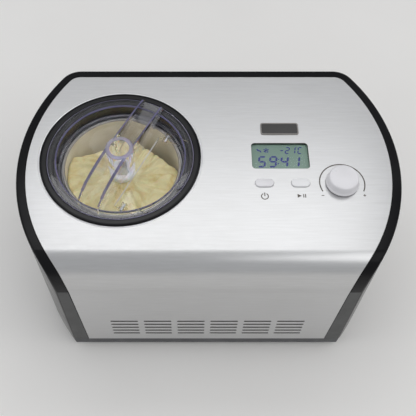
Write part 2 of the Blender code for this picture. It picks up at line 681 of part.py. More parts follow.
def make_drive():
    """Motor, reduction gears and the square-ended shaft that turns the paddle."""
    low, middle, high = 43 * MM, 49.6 * MM, 56 * MM
    output = gear_outline(TEETH_OUTPUT, IDLER_ANGLE)
    matrix = Matrix.Translation((*OUTPUT, 0))
    plate("output_gear", [output, circle((0, 0), 5.8 * MM)], low, middle - 1 * MM, NYLON, matrix=matrix)
    matrix = Matrix.Translation((*IDLER, 0))
    small = gear_outline(TEETH_SMALL, IDLER_ANGLE + 180, True)
    large = gear_outline(TEETH_LARGE, PINION_ANGLE)
    idler = plate("idler_gear", [large], middle, high, NYLON, matrix=matrix)
    join(idler, plate("idler_small", [small], low, middle + 1 * MM, None, True, matrix))
    cut(idler, rod("idler_bore", (*IDLER, low - MM), (*IDLER, high + MM), 3.3 * MM, None, True, 20))
    matrix = Matrix.Translation((*PINION, 0))
    teeth = gear_outline(TEETH_PINION, PINION_ANGLE + 180, True)
    pinion = plate("motor_pinion", [teeth], middle, high, ZINC, matrix=matrix)
    join(pinion, rod("motor_spindle", (*PINION, 31 * MM), (*PINION, 55 * MM), 2.5 * MM, None, True, 16))

    shaft = rod("output_shaft", at_bowl(40.8 * MM), at_bowl(132.6 * MM), 5.5 * MM, ZINC)
    half = 4.1 * MM
    join(shaft, box("shaft_head", (-half, -half, 130 * MM), (half, half, 146 * MM), None, True, 0, OUTPUT))
    bush = heights([(9.5, 71), (9.5, 60.5), (5.8, 60.5), (5.8, 71)])
    turned("shaft_bush", bush, NYLON, origin=at_bowl(), steps=24)

    cup = heights([(49, 61.7), (49, 40), (0, 40)])
    inside = heights([(0, 42), (46.4, 42), (46.4, 61.7)])
    case = turned("gearbox_housing", inside + cup, DARK, origin=(*GEARBOX, 0), steps=24)
    post = rod("idler_post", (*IDLER, 41 * MM), (*IDLER, 58 * MM), 3 * MM, None, True, 16)
    legs = []
    for angle in (100, 190, 280):
        x = GEARBOX[0] + 43 * MM * math.cos(math.radians(angle))
        y = GEARBOX[1] + 43 * MM * math.sin(math.radians(angle))
        low_end = TRAY_LOW + WALL + GAP
        legs.append(rod(f"gearbox_leg_{angle}", (x, y, low_end), (x, y, 41 * MM), 4 * MM, None, True, 12))
    join(case, post, *legs)
    below, above = 30 * MM, 45 * MM
    seat = rod("shaft_seat", at_bowl(below), at_bowl(above), 5.8 * MM, None, True, 20)
    hole = rod("spindle_hole", (*PINION, below), (*PINION, above), 4 * MM, None, True, 16)
    cut(case, seat, hole)
    shaft_hole = (OUTPUT[0] - GEARBOX[0], OUTPUT[1] - GEARBOX[1])
    cover = [circle((0, 0), 49 * MM, 24), circle(shaft_hole, 9.9 * MM)]
    plate("gearbox_lid", cover, 62 * MM, 64 * MM, DARK, matrix=Matrix.Translation((*GEARBOX, 0)))

    bore = heights([(0, 29), (4, 29), (4, 39.6)])
    body = heights([(10, 39.6), (10, 37), (28, 37), (29, 36), (29, 13), (28, 12), (0, 12)])
    turned("stirring_motor", bore + body, ENAMEL, origin=(*PINION, 0), steps=20)


# Refrigeration ----------------------------------------------------------------------------------


def make_compressor():
    x, y = COMPRESSOR
    radius = COMPRESSOR_RADIUS / MM
    crown = [(0, 150), (20, 149), (36, 145), (46, 137), (radius - 1, 126), (radius - 1, 92)]
    flange = [(radius + 1.5, 92), (radius + 1.5, 88), (radius - 1, 88)]
    sump = [(radius - 1, 50), (46, 38), (34, 30), (18, 27), (0, 27)]
    turned("compressor", heights(crown + flange + sump), ENAMEL, origin=(x, y, 0), steps=24)
    corners = [(x + sx * 42 * MM, y + sy * 36 * MM) for sx in (-1, 1) for sy in (-1, 1)]
    bracket = [rounded_rectangle(COMPRESSOR, (108 * MM, 92 * MM), 10 * MM)]
    bracket += [circle(corner, 3.2 * MM, 12) for corner in corners]
    plate("compressor_bracket", bracket, 24.2 * MM, 26.6 * MM, ZINC)
    floor = TRAY_LOW + WALL + GAP
    for number, corner in enumerate(corners, 1):
        grommet = [(8 * MM, 23.9 * MM), (8 * MM, floor), (2.6 * MM, floor), (2.6 * MM, 23.9 * MM)]
        turned(f"compressor_grommet_{number}", grommet, RUBBER, origin=(*corner, 0), steps=12)
    box(
        "start_relay",
        (x + COMPRESSOR_RADIUS + 1.8 * MM, y - 15 * MM, 96 * MM),
        (x + COMPRESSOR_RADIUS + 16 * MM, y + 15 * MM, 126 * MM),
        ENAMEL,
    )


def make_condenser():
    """The finned condenser behind the front air slots, and the fan that draws air through it."""
    fins = 20
    pitch = 120 * MM / fins
    back, front = -96 * MM, -122 * MM
    outline = [(22 * MM, -104 * MM)]
    for fin in range(fins):
        x = 22 * MM + fin * pitch
        edge = x + 0.4 * pitch
        outline += [(x, front), (edge, front), (edge, -104 * MM), (x + pitch, -104 * MM)]
    outline = outline[1:-1] + [(142 * MM - 0.6 * pitch, back), (22 * MM, back)]
    plate("condenser", [outline], 30 * MM, 120 * MM, ALUMINIUM)

    x, z = FAN
    centre = (x, z)
    frame = rounded_rectangle(centre, (120 * MM, 92 * MM), 5 * MM)
    shroud = plate("fan_shroud", [frame, circle(centre, 40 * MM, 24)], 92 * MM, 95 * MM, DARK, matrix=UPRIGHT)
    tunnel = [circle(centre, 42 * MM, 24), circle(centre, 40 * MM, 24)]
    join(shroud, plate("fan_tunnel", tunnel, 72 * MM, 93 * MM, None, True, UPRIGHT))

    blades = rod("fan_blade", (x, -88 * MM, z), (x, -72 * MM, z), 11 * MM, WHITE)
    for number in range(5):
        matrix = Matrix.Translation((x, -80 * MM, z)) @ Matrix.Rotation(2 * math.pi * number / 5, 4, "Y")
        matrix @= Matrix.Rotation(math.radians(35), 4, "Z")
        tip = [(-8 * MM, 9 * MM), (8 * MM, 9 * MM), (10 * MM, 36 * MM), (-10 * MM, 36 * MM)]
        join(blades, plate(f"fan_vane_{number}", [tip], -0.9 * MM, 0.9 * MM, None, True, matrix @ UPRIGHT))
    join(blades, rod("fan_spindle", (x, -73 * MM, z), (x, -60 * MM, z), 2.2 * MM, None, True, 12))

    bore = heights([(0, 57), (2.6, 57), (2.6, 64.4)])
    body = heights([(16, 64.4), (18, 62), (18, 44), (16, 42), (0, 42)])
    motor = turned("fan_motor", bore + body, ENAMEL, origin=(x, 0, z), steps=16, tilt=(math.pi / 2, 0, 0))
    arms = []
    for side in (-1, 1):
        for name, inner, front in (("bar", 15 * MM, -60 * MM), ("post", 47 * MM, -91.7 * MM)):
            low, high = sorted((x + side * inner, x + side * 52 * MM))
            ends = (low, front, z - 5 * MM), (high, -57 * MM, z + 5 * MM)
            arms.append(box(f"motor_{name}_{side}", *ends, helper=True))
    join(motor, *arms)


def make_pipework():
    """Refrigerant pipes: compressor, condenser, drier, capillary, coil and back."""
    coil_x, coil_y = BOWL_X / MM + 97.4, BOWL_Y / MM
    angle = math.radians(-60)
    reach = COMPRESSOR_RADIUS / MM - 0.5
    start = (COMPRESSOR[0] / MM + reach * math.cos(angle), COMPRESSOR[1] / MM + reach * math.sin(angle), 118)
    bends = [(128, -13, 118), (142, -30, 118), (153, -52, 116), (157, -80, 112), (156, -100, 110)]
    pipe("discharge_pipe", route([start, *bends, (151, -107.5, 109), (142.5, -109, 109)]), 2.6 * MM, COPPER)

    bends = [(12, -109, 42), (7, -108, 44), (5, -106, 50)]
    pipe("liquid_pipe", route([(21.5, -109, 42), *bends, (5, -105, 59.6)]), 2.6 * MM, COPPER)
    drier = heights([(0, 112), (2.4, 112), (3, 106), (8.5, 101), (8.5, 69), (3, 64), (3, 60), (0, 60)])
    turned("filter_drier", drier, COPPER, origin=(5 * MM, -105 * MM, 0), steps=20)

    bends = [(5, -104.6, 122), (2, -98, 132), (-1, -80, 134), (0, -50, 128), (6, -25, 112), (8, -8, 96)]
    end = (coil_x, coil_y - 11, 85)
    pipe("capillary_tube", route([(5, -105, 112.4), *bends, (5, -3, 86.5), end]), 1.2 * MM, COPPER)

    bends = [(10, coil_y + 11, 165), (24, 28, 160), (30, 40, 145), (31, 47, 120), (33, 47, 95)]
    end = (COMPRESSOR[0] / MM - reach - 0.4, COMPRESSOR[1] / MM, 82)
    pipe("suction_pipe", route([(coil_x, coil_y + 11, 165), *bends, (37, 45.5, 84), end]), 3.4 * MM, COPPER)


# Controls ---------------------------------------------------------------------------------------


def make_controls():
    """Display, buttons, knob and encoder, and the board that they sit on."""
    low, high = TOP - 16 * MM, TOP - 14.4 * MM
    outline = rounded_rectangle((105 * MM, -9 * MM), (128 * MM, 86 * MM), 3 * MM)
    board = plate("control_board", [outline], low, high, BOARD)
    half = 3 * MM
    for name, (x, y) in (("power_switch", POWER_BUTTON), ("start_switch", START_BUTTON)):
        ends = (x - half, y - half, high - 0.5 * MM), (x + half, y + half, high + 3.5 * MM)
        join(board, box(name, *ends, helper=True))
    ends = (136 * MM, 10 * MM, high - 0.5 * MM), (152 * MM, 26 * MM, high + 2 * MM)
    join(board, box("controller", *ends, helper=True))

    x, y = DISPLAY
    half_x, half_y = DISPLAY_SIZE[0] / 2, DISPLAY_SIZE[1] / 2
    box("lcd_module", (x - half_x, y - half_y, high + GAP), (x + half_x, y + half_y, TOP - 3 * MM), SILVER)
    pane = (DISPLAY_SIZE[0] - 2 * GAP, DISPLAY_SIZE[1] - 2 * GAP)
    window = plate("display_window", [rounded_rectangle(DISPLAY, pane, 3.7 * MM)], TOP - 2.7 * MM, TOP, GLASS)
    flange = rounded_rectangle(DISPLAY, (pane[0] + 4 * MM, pane[1] + 4 * MM), 4 * MM)
    join(window, plate("window_flange", [flange], TOP - 2.7 * MM, TOP - SHEET - GAP, None, True))

    badge = rounded_rectangle(NAMEPLATE, (43.6 * MM, 16.6 * MM), 1.2 * MM)
    plate("blank_nameplate", [badge], TOP + GAP, TOP + 1 * MM, DARK)

    for name, centre in (("power_button", POWER_BUTTON), ("start_button", START_BUTTON)):
        size = (BUTTON_SIZE[0] - 2 * GAP, BUTTON_SIZE[1] - 2 * GAP)
        base = TOP - 3.4 * MM
        button = plate(name, [stadium(centre, size)], base, TOP + 1.8 * MM, SILVER)
        flange = stadium(centre, (size[0] + 3 * MM, size[1] + 3 * MM))
        ends = (*centre, TOP - 9 * MM), (*centre, base + 1 * MM)
        stem = rod(name + "_stem", *ends, 1.8 * MM, None, True, 12)
        join(button, plate(name + "_flange", [flange], base, TOP - SHEET - GAP, None, True), stem)

    x, y = KNOB
    skirt = [(0, 12.5), (15, 12.5), (16, 11.7), (17.2, 4), (18.1, 3), (18.1, 0.8), (3, 0.8)]
    knob = turned("control_knob", above_top([*skirt, (3, -7), (0, -7)]), SILVER, origin=(x, y, 0), steps=32)
    knob.data.shade_smooth()
    half = 7 * MM
    body = box("rotary_encoder", (x - half, y - half, high + GAP), (x + half, y + half, TOP - 2 * MM), ZINC)
    bush = rod("encoder_bush", (x, y, TOP - 3 * MM), (x, y, TOP + 0.3 * MM), 4.4 * MM, None, True, 20)
    bore = rod("encoder_bore", (x, y, TOP - 9 * MM), (x, y, TOP + 2 * MM), 3.35 * MM, None, True, 20)
    cut(join(body, bush), bore)


def make_power_board():
    """The supply board on the right, with its transformer, capacitor and relay."""
    x = 168 * MM
    board = box("power_board", (x, 0, 32 * MM), (x + 1.6 * MM, 80 * MM, 112 * MM), BOARD)
    parts = (  # (y, z) of the lowest corner, then height off the board, width and height
        ("transformer", (6, 36), (20, 34, 30)),
        ("power_relay", (46, 40), (12, 16, 20)),
        ("supply_fuse", (52, 70), (8, 22, 8)),
    )
    for name, (y, z), (depth, width, height) in parts:
        low = (x + 1 * MM, y * MM, z * MM)
        join(board, box(name, low, (x + depth * MM, (y + width) * MM, (z + height) * MM), helper=True))
    ends = (x + 1 * MM, 60 * MM, 96 * MM), (x + 18 * MM, 60 * MM, 96 * MM)
    join(board, rod("capacitor", *ends, 7 * MM, None, True, 16))
    bends = [(169, 40, 122), (167, 37, 148), (160, 29, 170), (154, 21, 184)]
    pipe("display_cable", route([(169, 40, 112.5), *bends, (153, 19, 193.2)]), 2 * MM, RUBBER)


make_panel()
make_housing()
make_rear_parts()
make_base()
make_collar()
make_cooling()
make_bowl()
make_paddle()
make_lid()
make_hatch()
make_drive()
make_compressor()
make_condenser()
make_pipework()
make_controls()
make_power_board()
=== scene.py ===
"""Looks of a countertop ice cream maker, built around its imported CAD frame.

Units are metres and +Z is up. Every piece is made in place, so each object sits at the origin.
"""

import json
from math import atan2, cos, hypot, pi, radians, sin, sqrt, tan

import bmesh
import bpy
from mathutils import Matrix, Vector, noise


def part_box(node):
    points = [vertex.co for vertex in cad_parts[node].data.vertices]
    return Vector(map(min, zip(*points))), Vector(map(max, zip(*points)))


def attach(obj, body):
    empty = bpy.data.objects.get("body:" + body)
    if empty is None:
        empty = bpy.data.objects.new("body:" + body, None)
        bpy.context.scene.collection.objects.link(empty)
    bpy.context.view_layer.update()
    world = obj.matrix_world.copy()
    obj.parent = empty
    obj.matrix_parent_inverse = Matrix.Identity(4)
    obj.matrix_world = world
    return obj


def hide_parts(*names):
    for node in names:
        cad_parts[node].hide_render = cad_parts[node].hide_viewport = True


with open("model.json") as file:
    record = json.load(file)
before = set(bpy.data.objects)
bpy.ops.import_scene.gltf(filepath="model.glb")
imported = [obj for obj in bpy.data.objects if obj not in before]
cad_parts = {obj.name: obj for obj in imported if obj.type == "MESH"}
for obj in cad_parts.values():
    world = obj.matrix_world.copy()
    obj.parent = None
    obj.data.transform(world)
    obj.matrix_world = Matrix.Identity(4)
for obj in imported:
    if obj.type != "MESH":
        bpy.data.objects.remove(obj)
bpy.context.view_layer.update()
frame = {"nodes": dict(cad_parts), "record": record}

MM = 0.001
WELD = 0.01 * MM  # vertices closer than this are the same
SCENE = bpy.context.scene


# ---- Places and sizes ----


def box_centre(node, up=1):
    """Middle of a node's box seen from above, or along Y where up is 2."""
    low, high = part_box(node)
    return (low.x + high.x) / 2, (low[up] + high[up]) / 2


def box_size(node, up=1):
    low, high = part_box(node)
    return high.x - low.x, high[up] - low[up]


HOUSING_LOW, HOUSING_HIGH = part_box("outer_housing")
TOP = HOUSING_HIGH.z
FRONT, BACK = HOUSING_LOW.y, HOUSING_HIGH.y
BODY_FOOT = HOUSING_LOW.z
SIDE_RADIUS = 217.2 * MM  # plan radius of the bowed sides
SIDE_X = -4.7 * MM
SIDE_Y = 1.5 * MM
CORNER = 26 * MM
FLARE = HOUSING_HIGH.x / (SIDE_X + SIDE_RADIUS)  # the body is slightly wider at its foot
BORDER = 10 * MM
SEAM = 0.6 * MM
BEND_Y = -107.5 * MM
BEND_RADIUS = 24 * MM
BEND_ANGLE = radians(78)
PANEL_FOOT = 146 * MM  # half the panel's width at its lower edge
SHEET = 1.2 * MM
WALL = 2.5 * MM

BOWL_HOLE = 85 * MM  # radii of the steel's round holes
KNOB_HOLE = 4.8 * MM
BOWL = box_centre("bowl_collar")
KNOB = box_centre("control_knob")
LID_ANGLE = radians(63.5)
HATCH_EDGE = 20.6 * MM
HATCH_HALF = 51.9 * MM
HATCH_BEYOND = 100 * MM
HATCH_HEIGHTS = (TOP - 30 * MM, TOP + 10 * MM)
HINGE_V = 31 * MM
HINGE_Z = TOP - 11 * MM
PIN_BORE = 1.8 * MM
FIN_V = 12 * MM
RIB_HALF = 1.7 * MM
GAP = 0.3 * MM
UPRIGHT = Matrix.Rotation(pi / 2, 4, "X")
COVER, COVER_SIZE = box_centre("rear_cover", 2), box_size("rear_cover", 2)
COVER_CORNER = 8 * MM
SCREWS = [box_centre(f"rear_screw_{number}", 2) for number in range(1, 5)]
ROUND, FINE = 96, 128  # steps round a full turn, and round the bowl's large rings
UPRIGHT_FRONT = 0.99  # least forward part of the normal of an upright front face
CUT_TILT = 0.97  # cosine of the least angle between the sheet's surface and its cut edges


# ---- Mesh helpers ----


def turns(steps):
    return [2 * pi * step / steps for step in range(steps)]


def on_circle(centre, radius, angle):
    return centre[0] + radius * cos(angle), centre[1] + radius * sin(angle)


def link(name, mesh):
    obj = bpy.data.objects.new(name, mesh)
    SCENE.collection.objects.link(obj)
    return obj


def mesh_object(name, bm, degrees=32):
    bmesh.ops.recalc_face_normals(bm, faces=bm.faces)
    mesh = bpy.data.meshes.new(name)
    bm.to_mesh(mesh)
    bm.free()
    shade(mesh, degrees)
    return link(name, mesh)


def fillet(points, radius, steps=4, closed=True):
    """Rounds each corner of an outline, by up to half of its shorter side."""
    rounded = []
    last = len(points) - 1
    for index, point in enumerate(points):
        corner = Vector(point)
        if not closed and index in (0, last):
            rounded.append(corner)
            continue
        before = Vector(points[index - 1]) - corner
        after = Vector(points[(index + 1) % len(points)]) - corner
        start = corner + before.normalized() * min(radius, before.length * 0.45)
        end = corner + after.normalized() * min(radius, after.length * 0.45)
        for step in range(steps + 1):
            t = step / steps
            rounded.append(start * (1 - t) ** 2 + corner * (2 * t * (1 - t)) + end * t**2)
    return rounded


def skin(bm, pairs, steps):
    """Faces between pairs of vertex loops. A loop of one vertex makes a fan."""
    for first, second in pairs:
        for step in range(steps):
            order = ((first, step), (first, step + 1), (second, step + 1), (second, step))
            corners = list(dict.fromkeys(loop[place % len(loop)] for loop, place in order))
            if len(corners) > 2:
                bm.faces.new(corners)


def turned(name, profile, centre=(0, 0), radius=0.4 * MM, steps=ROUND, matrix=None):
    """A turned shape from (radius, height) points. One that starts on the axis ends on it too,
    and any other is a closed ring."""
    ring = profile[0][0] > 0
    bm = bmesh.new()
    loops = []
    for r, z in fillet(profile, radius, closed=ring):
        angles = turns(steps) if r > 0 else [0]
        loops.append([bm.verts.new((*on_circle(centre, r, a), z)) for a in angles])
    pairs = list(zip(loops, loops[1:]))
    if ring:
        pairs.append((loops[-1], loops[0]))
    skin(bm, pairs, steps)
    if matrix:
        bmesh.ops.transform(bm, matrix=matrix, verts=bm.verts)
    return mesh_object(name, bm)


def plate(name, outlines, low, high, matrix=None, edge=0.0, segments=3):
    """A flat piece between two heights from closed XY outlines, its edges rounded over."""
    curve = bpy.data.curves.new(name, "CURVE")
    curve.dimensions = "2D"
    curve.fill_mode = "BOTH"
    curve.extrude = (high - low) / 2
    for outline in outlines:
        spline = curve.splines.new("POLY")
        spline.points.add(len(outline) - 1)
        for point, position in zip(spline.points, outline):
            point.co = (*position, 0, 1)
        spline.use_cyclic_u = True
    draft = link(name + "_draft", curve)
    mesh = final_mesh(draft)
    bpy.data.objects.remove(draft)
    bm = bmesh.new()
    bm.from_mesh(mesh)
    bmesh.ops.remove_doubles(bm, verts=bm.verts, dist=0.002 * MM)
    bmesh.ops.dissolve_limit(bm, angle_limit=0.01, verts=bm.verts, edges=bm.edges)
    where = (matrix or Matrix()) @ Matrix.Translation((0, 0, (low + high) / 2))
    bmesh.ops.transform(bm, matrix=where, verts=bm.verts)
    obj = mesh_object(name, bm)
    if edge:
        bevel(obj, edge, segments)
    return obj


def modify(obj, name, kind, **settings):
    made = obj.modifiers.new(name, kind)
    for setting, value in settings.items():
        setattr(made, setting, value)


def round_edges(obj, width, segments, degrees=40):
    """Adds a bevel to the edges that turn by more than that many degrees."""
    sharp = {"limit_method": "ANGLE", "angle_limit": radians(degrees)}
    modify(obj, "rounded_edges", "BEVEL", width=width, segments=segments, **sharp)


def thicken(obj, thickness):
    """Gives a surface its thickness, inwards."""
    modify(obj, "wall", "SOLIDIFY", thickness=thickness, offset=-1, use_even_offset=True)


def bevel(obj, width, segments=3):
    round_edges(obj, width, segments)
    return bake(obj)


def final_mesh(obj):
    """The mesh of a curve, or of an object with its modifiers applied."""
    bpy.context.view_layer.update()
    return bpy.data.meshes.new_from_object(obj.evaluated_get(bpy.context.evaluated_depsgraph_get()))


def shade(mesh, degrees=32):
    """Smooth shading, broken where faces meet at more than that many degrees."""
    mesh.shade_smooth()
    mesh.set_sharp_from_angle(angle=radians(degrees))


def bake(obj):
    """Applies the modifiers of an object."""
    mesh = final_mesh(obj)
    obj.modifiers.clear()
    obj.data = mesh
    shade(mesh)
    return obj


def boolean(obj, others, operation):
    for other in others:
        modify(obj, other.name, "BOOLEAN", operation=operation, object=other, solver="EXACT")
    bake(obj)
    for other in others:
        bpy.data.objects.remove(other)
    return obj


def flatten_normals(obj):
    """Keeps the large flat faces flat in the shading, beside rounded ones."""
    modify(obj, "weighted_normals", "WEIGHTED_NORMAL", keep_sharp=True, weight=100)
    return obj


def arc(centre, radius, start, end, steps):
    """Points on a circle from one angle to another, in degrees."""
    angles = [radians(start + (end - start) * step / steps) for step in range(steps + 1)]
    return [on_circle(centre, radius, angle) for angle in angles]


def stadium(centre, size, steps=12):
    radius = size[1] / 2
    reach = size[0] / 2 - radius
    right = arc((centre[0] + reach, centre[1]), radius, -90, 90, steps)
    return right + arc((centre[0] - reach, centre[1]), radius, 90, 270, steps)


def round_box(centre, size, radius, steps=8):
    outline = []
    for quarter, (sx, sy) in enumerate(((1, 1), (-1, 1), (-1, -1), (1, -1))):
        corner = (centre[0] + sx * (size[0] / 2 - radius), centre[1] + sy * (size[1] / 2 - radius))
        outline += arc(corner, radius, 90 * quarter, 90 * quarter + 90, steps)
    return outline


def less(size, amount):
    return size[0] - amount, size[1] - amount


def circle(centre, radius, segments=48):
    return [on_circle(centre, radius, angle) for angle in turns(segments)]


def block(name, low, high, matrix=None):
    bm = bmesh.new()
    bmesh.ops.create_cube(bm, size=1.0)
    low, high = Vector(low), Vector(high)
    bmesh.ops.scale(bm, vec=high - low, verts=bm.verts)
    bmesh.ops.translate(bm, vec=(low + high) / 2, verts=bm.verts)
    if matrix:
        bmesh.ops.transform(bm, matrix=matrix, verts=bm.verts)
    return mesh_object(name, bm)


def bar(name, start, end, radius, steps=24):
    start, end = Vector(start), Vector(end)
    bm = bmesh.new()
    length = (end - start).length
    bmesh.ops.create_cone(bm, cap_ends=True, segments=steps, radius1=radius, radius2=radius, depth=length)
    turn = (end - start).to_track_quat("Z", "Y").to_matrix().to_4x4()
    bmesh.ops.transform(bm, matrix=Matrix.Translation((start + end) / 2) @ turn, verts=bm.verts)
    return mesh_object(name, bm)


def show(obj, finish, body, slot, *nodes):
    """Gives a piece its material and its body, and hides the CAD nodes that it stands for. The slot argument
    is not used.
    """
    obj.data.materials.clear()
    obj.data.materials.append(finish)
    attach(obj, body)
    if nodes:
        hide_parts(*nodes)
    return obj


# ---- Material helpers ----


class Look:
    """A Principled material, with shorthand for the nodes behind it."""

    def __init__(self, name, colour, roughness, metallic=0.0, **sockets):
        self.material = bpy.data.materials.new(name)
        self.material.use_nodes = True
        self.tree = self.material.node_tree
        self.shader = self.tree.nodes["Principled BSDF"]
        self.output = self.tree.nodes["Material Output"]
        self.colour = colour
        sockets.update(Base_Color=(*colour, 1), Roughness=roughness, Metallic=metallic)
        for socket, value in sockets.items():
            self.shader.inputs[socket.replace("_", " ")].default_value = value
        self.height = None

    def node(self, kind, sockets=(), **settings):
        """A new node with constants on its sockets."""
        made = self.tree.nodes.new(kind)
        for setting, value in settings.items():
            setattr(made, setting, value)
        for socket, value in dict(sockets).items():
            made.inputs[socket].default_value = value
        return made

    def wire(self, output, target):
        self.tree.links.new(output, target)

    def places(self, stretch=(1, 1, 1)):
        """Object coordinates. A pattern is longer along an axis whose number is smaller."""
        coordinates = self.node("ShaderNodeTexCoord")
        mapping = self.node("ShaderNodeMapping", {"Scale": stretch})
        self.wire(coordinates.outputs["Object"], mapping.inputs["Vector"])
        return mapping.outputs["Vector"]

    def noise(self, scale, detail=3.0, stretch=(1, 1, 1), distortion=0.0):
        sockets = {"Scale": scale, "Detail": detail, "Distortion": distortion}
        texture = self.node("ShaderNodeTexNoise", sockets)
        self.wire(self.places(stretch), texture.inputs["Vector"])
        return texture.outputs["Fac"]

    def ranged(self, value, low, high, to_low, to_high):
        sockets = {"From Min": low, "From Max": high, "To Min": to_low, "To Max": to_high}
        spread = self.node("ShaderNodeMapRange", sockets)
        self.wire(value, spread.inputs["Value"])
        return spread.outputs["Result"]

    def ramp(self, value, stops):
        ramp = self.node("ShaderNodeValToRGB")
        elements = ramp.color_ramp.elements
        while len(elements) < len(stops):
            elements.new(0.5)
        for element, (position, colour) in zip(elements, stops):
            element.position = position
            element.color = (*colour, 1)
        self.wire(value, ramp.inputs["Fac"])
        return ramp.outputs["Color"]

    def vary_colour(self, value, other, low=0.35, high=0.65):
        """Blends the base colour towards another where the value is high."""
        self.wire(self.ramp(value, ((low, self.colour), (high, other))), self.shader.inputs["Base Color"])

    def vary_roughness(self, value, low, high):
        self.wire(self.ranged(value, 0.3, 0.7, low, high), self.shader.inputs["Roughness"])

    def bump(self, value, distance, strength=1.0):
        """Adds a height pattern of that depth, on top of those before it."""
        made = self.node("ShaderNodeBump", {"Distance": distance, "Strength": strength})
        self.wire(value, made.inputs["Height"])
        if self.height:
            self.wire(self.height, made.inputs["Normal"])
        self.height = made.outputs["Normal"]
        self.wire(self.height, self.shader.inputs["Normal"])

    def lit_through(self):
        """Lets lamps shine through, so that what lies behind is lit."""
        path = self.node("ShaderNodeLightPath")
        clear = self.node("ShaderNodeBsdfTransparent", {"Color": (0.93, 0.93, 0.95, 1)})
        mix = self.node("ShaderNodeMixShader")
        self.wire(path.outputs["Is Shadow Ray"], mix.inputs["Fac"])
        self.wire(self.shader.outputs["BSDF"], mix.inputs[1])
        self.wire(clear.outputs["BSDF"], mix.inputs[2])
        self.wire(mix.outputs["Shader"], self.output.inputs["Surface"])


def moulded(name, colour, roughness, grain=0.02 * MM, **sockets):
    """Moulded plastic: a fine grain, slightly uneven gloss and faint marks from handling."""
    look = Look(name, colour, roughness, **sockets)
    look.bump(look.noise(1800, 2.0), grain)
    look.vary_roughness(look.noise(60, 4.0), roughness * 0.85, roughness * 1.2)
    lighter = tuple(min(1.0, part * 1.12 + 0.004) for part in colour)
    look.vary_colour(look.noise(25, 3.0), lighter)
    return look.material


def steel_finish():
    """Stainless sheet brushed along its length, so its highlights spread across it."""
    look = Look("brushed_stainless", (0.63, 0.635, 0.64), 0.32, 1.0, Anisotropic=0.55)
    fine = look.noise(1, 3.0, stretch=(110, 2400, 2400))
    broad = look.noise(1, 2.0, stretch=(30, 520, 520))
    cloud = look.noise(6, 2.0)
    look.vary_roughness(fine, 0.28, 0.36)
    tone = look.node("ShaderNodeMath", {1: 0.6}, operation="MULTIPLY_ADD")
    look.wire(broad, tone.inputs[0])
    look.wire(look.ranged(fine, 0.0, 1.0, 0.0, 0.4), tone.inputs[2])
    shade = look.ramp(tone.outputs["Value"], ((0.3, (0.605, 0.605, 0.607)), (0.7, (0.665, 0.667, 0.673))))
    mix = look.node("ShaderNodeMix", {"Factor": 1.0}, data_type="RGBA", blend_type="MULTIPLY")
    look.wire(shade, mix.inputs["A"])
    look.wire(look.ramp(cloud, ((0.3, (0.96, 0.96, 0.955)), (0.7, (1, 1, 1)))), mix.inputs["B"])
    look.wire(mix.outputs["Result"], look.shader.inputs["Base Color"])
    look.bump(fine, 0.006 * MM, 0.6)
    geometry = look.node("ShaderNodeNewGeometry")
    across = look.node("ShaderNodeVectorMath", {1: (1, 0, 0)}, operation="CROSS_PRODUCT")
    look.wire(geometry.outputs["Normal"], across.inputs[0])
    look.wire(across.outputs["Vector"], look.shader.inputs["Tangent"])
    return look.material


def metal(name, colour, roughness, scale=300, stretch=(1, 1, 1), depth=0.01 * MM):
    """Plain metal with a faint uneven surface."""
    look = Look(name, colour, roughness, 1.0)
    pattern = look.noise(scale, 4.0, stretch=stretch)
    look.vary_roughness(pattern, roughness * 0.8, roughness * 1.25)
    look.vary_colour(look.noise(40, 3.0), tuple(part * 0.86 for part in colour))
    look.bump(pattern, depth)
    return look.material


def gloss_black():
    """Glossy black moulding with faint flow marks and fine dust in its polish."""
    look = Look("gloss_black", (0.006, 0.006, 0.007), 0.14, Specular_IOR_Level=0.1)
    look.vary_roughness(look.noise(35, 4.0), 0.13, 0.22)
    look.vary_colour(look.noise(12, 2.0), (0.010, 0.010, 0.011))
    look.bump(look.noise(900, 2.0), 0.004 * MM)
    return look.material


def clear_finish(name, tint, density):
    """Clear moulded plastic: a weak lens with a glossy skin, whose thick edges look bluish."""
    glass = {"Transmission_Weight": 1.0, "IOR": 1.12, "Coat_Weight": 0.8, "Coat_IOR": 1.45}
    look = Look(name, (1, 1, 1), 0.02, **glass)
    look.bump(look.noise(45, 2.0), 0.03 * MM, 0.4)
    haze = look.node("ShaderNodeVolumeAbsorption", {"Color": (*tint, 1), "Density": density})
    look.wire(haze.outputs["Volume"], look.output.inputs["Volume"])
    look.lit_through()
    return look.material


def edge_finish(name, colour, clearness=0.35):
    """Clear plastic with a painted glow, a colour standing in for the light that it carries to its edges, or
    satin clear plastic.
    """
    look = Look(name, colour, 0.18, Transmission_Weight=clearness, IOR=1.2)
    look.vary_colour(look.noise(30, 2.0), tuple(part * 0.75 for part in colour))
    look.vary_roughness(look.noise(90, 2.0), 0.14, 0.25)
    look.lit_through()
    return look.material


def pane_finish():
    """The display's thin flat pane, with hardly any lens effect and a faint unevenness in its tint."""
    look = Look("display_pane", (0.9, 0.95, 0.92), 0.0, Transmission_Weight=1.0, IOR=1.08)
    look.vary_colour(look.noise(20, 2.0), (0.93, 0.97, 0.95))
    look.lit_through()
    return look.material


def frosted_aluminium():
    """The bowl's metal under a thin film of frost, which is patchy near the rim."""
    look = Look("frosted_aluminium", (0.76, 0.71, 0.57), 0.45, 0.3)
    patches = look.noise(38, 5.0)
    look.vary_colour(patches, (0.86, 0.82, 0.70), 0.38, 0.62)
    look.vary_roughness(patches, 0.34, 0.6)
    look.bump(look.noise(700, 4.0), 0.05 * MM)
    return look.material


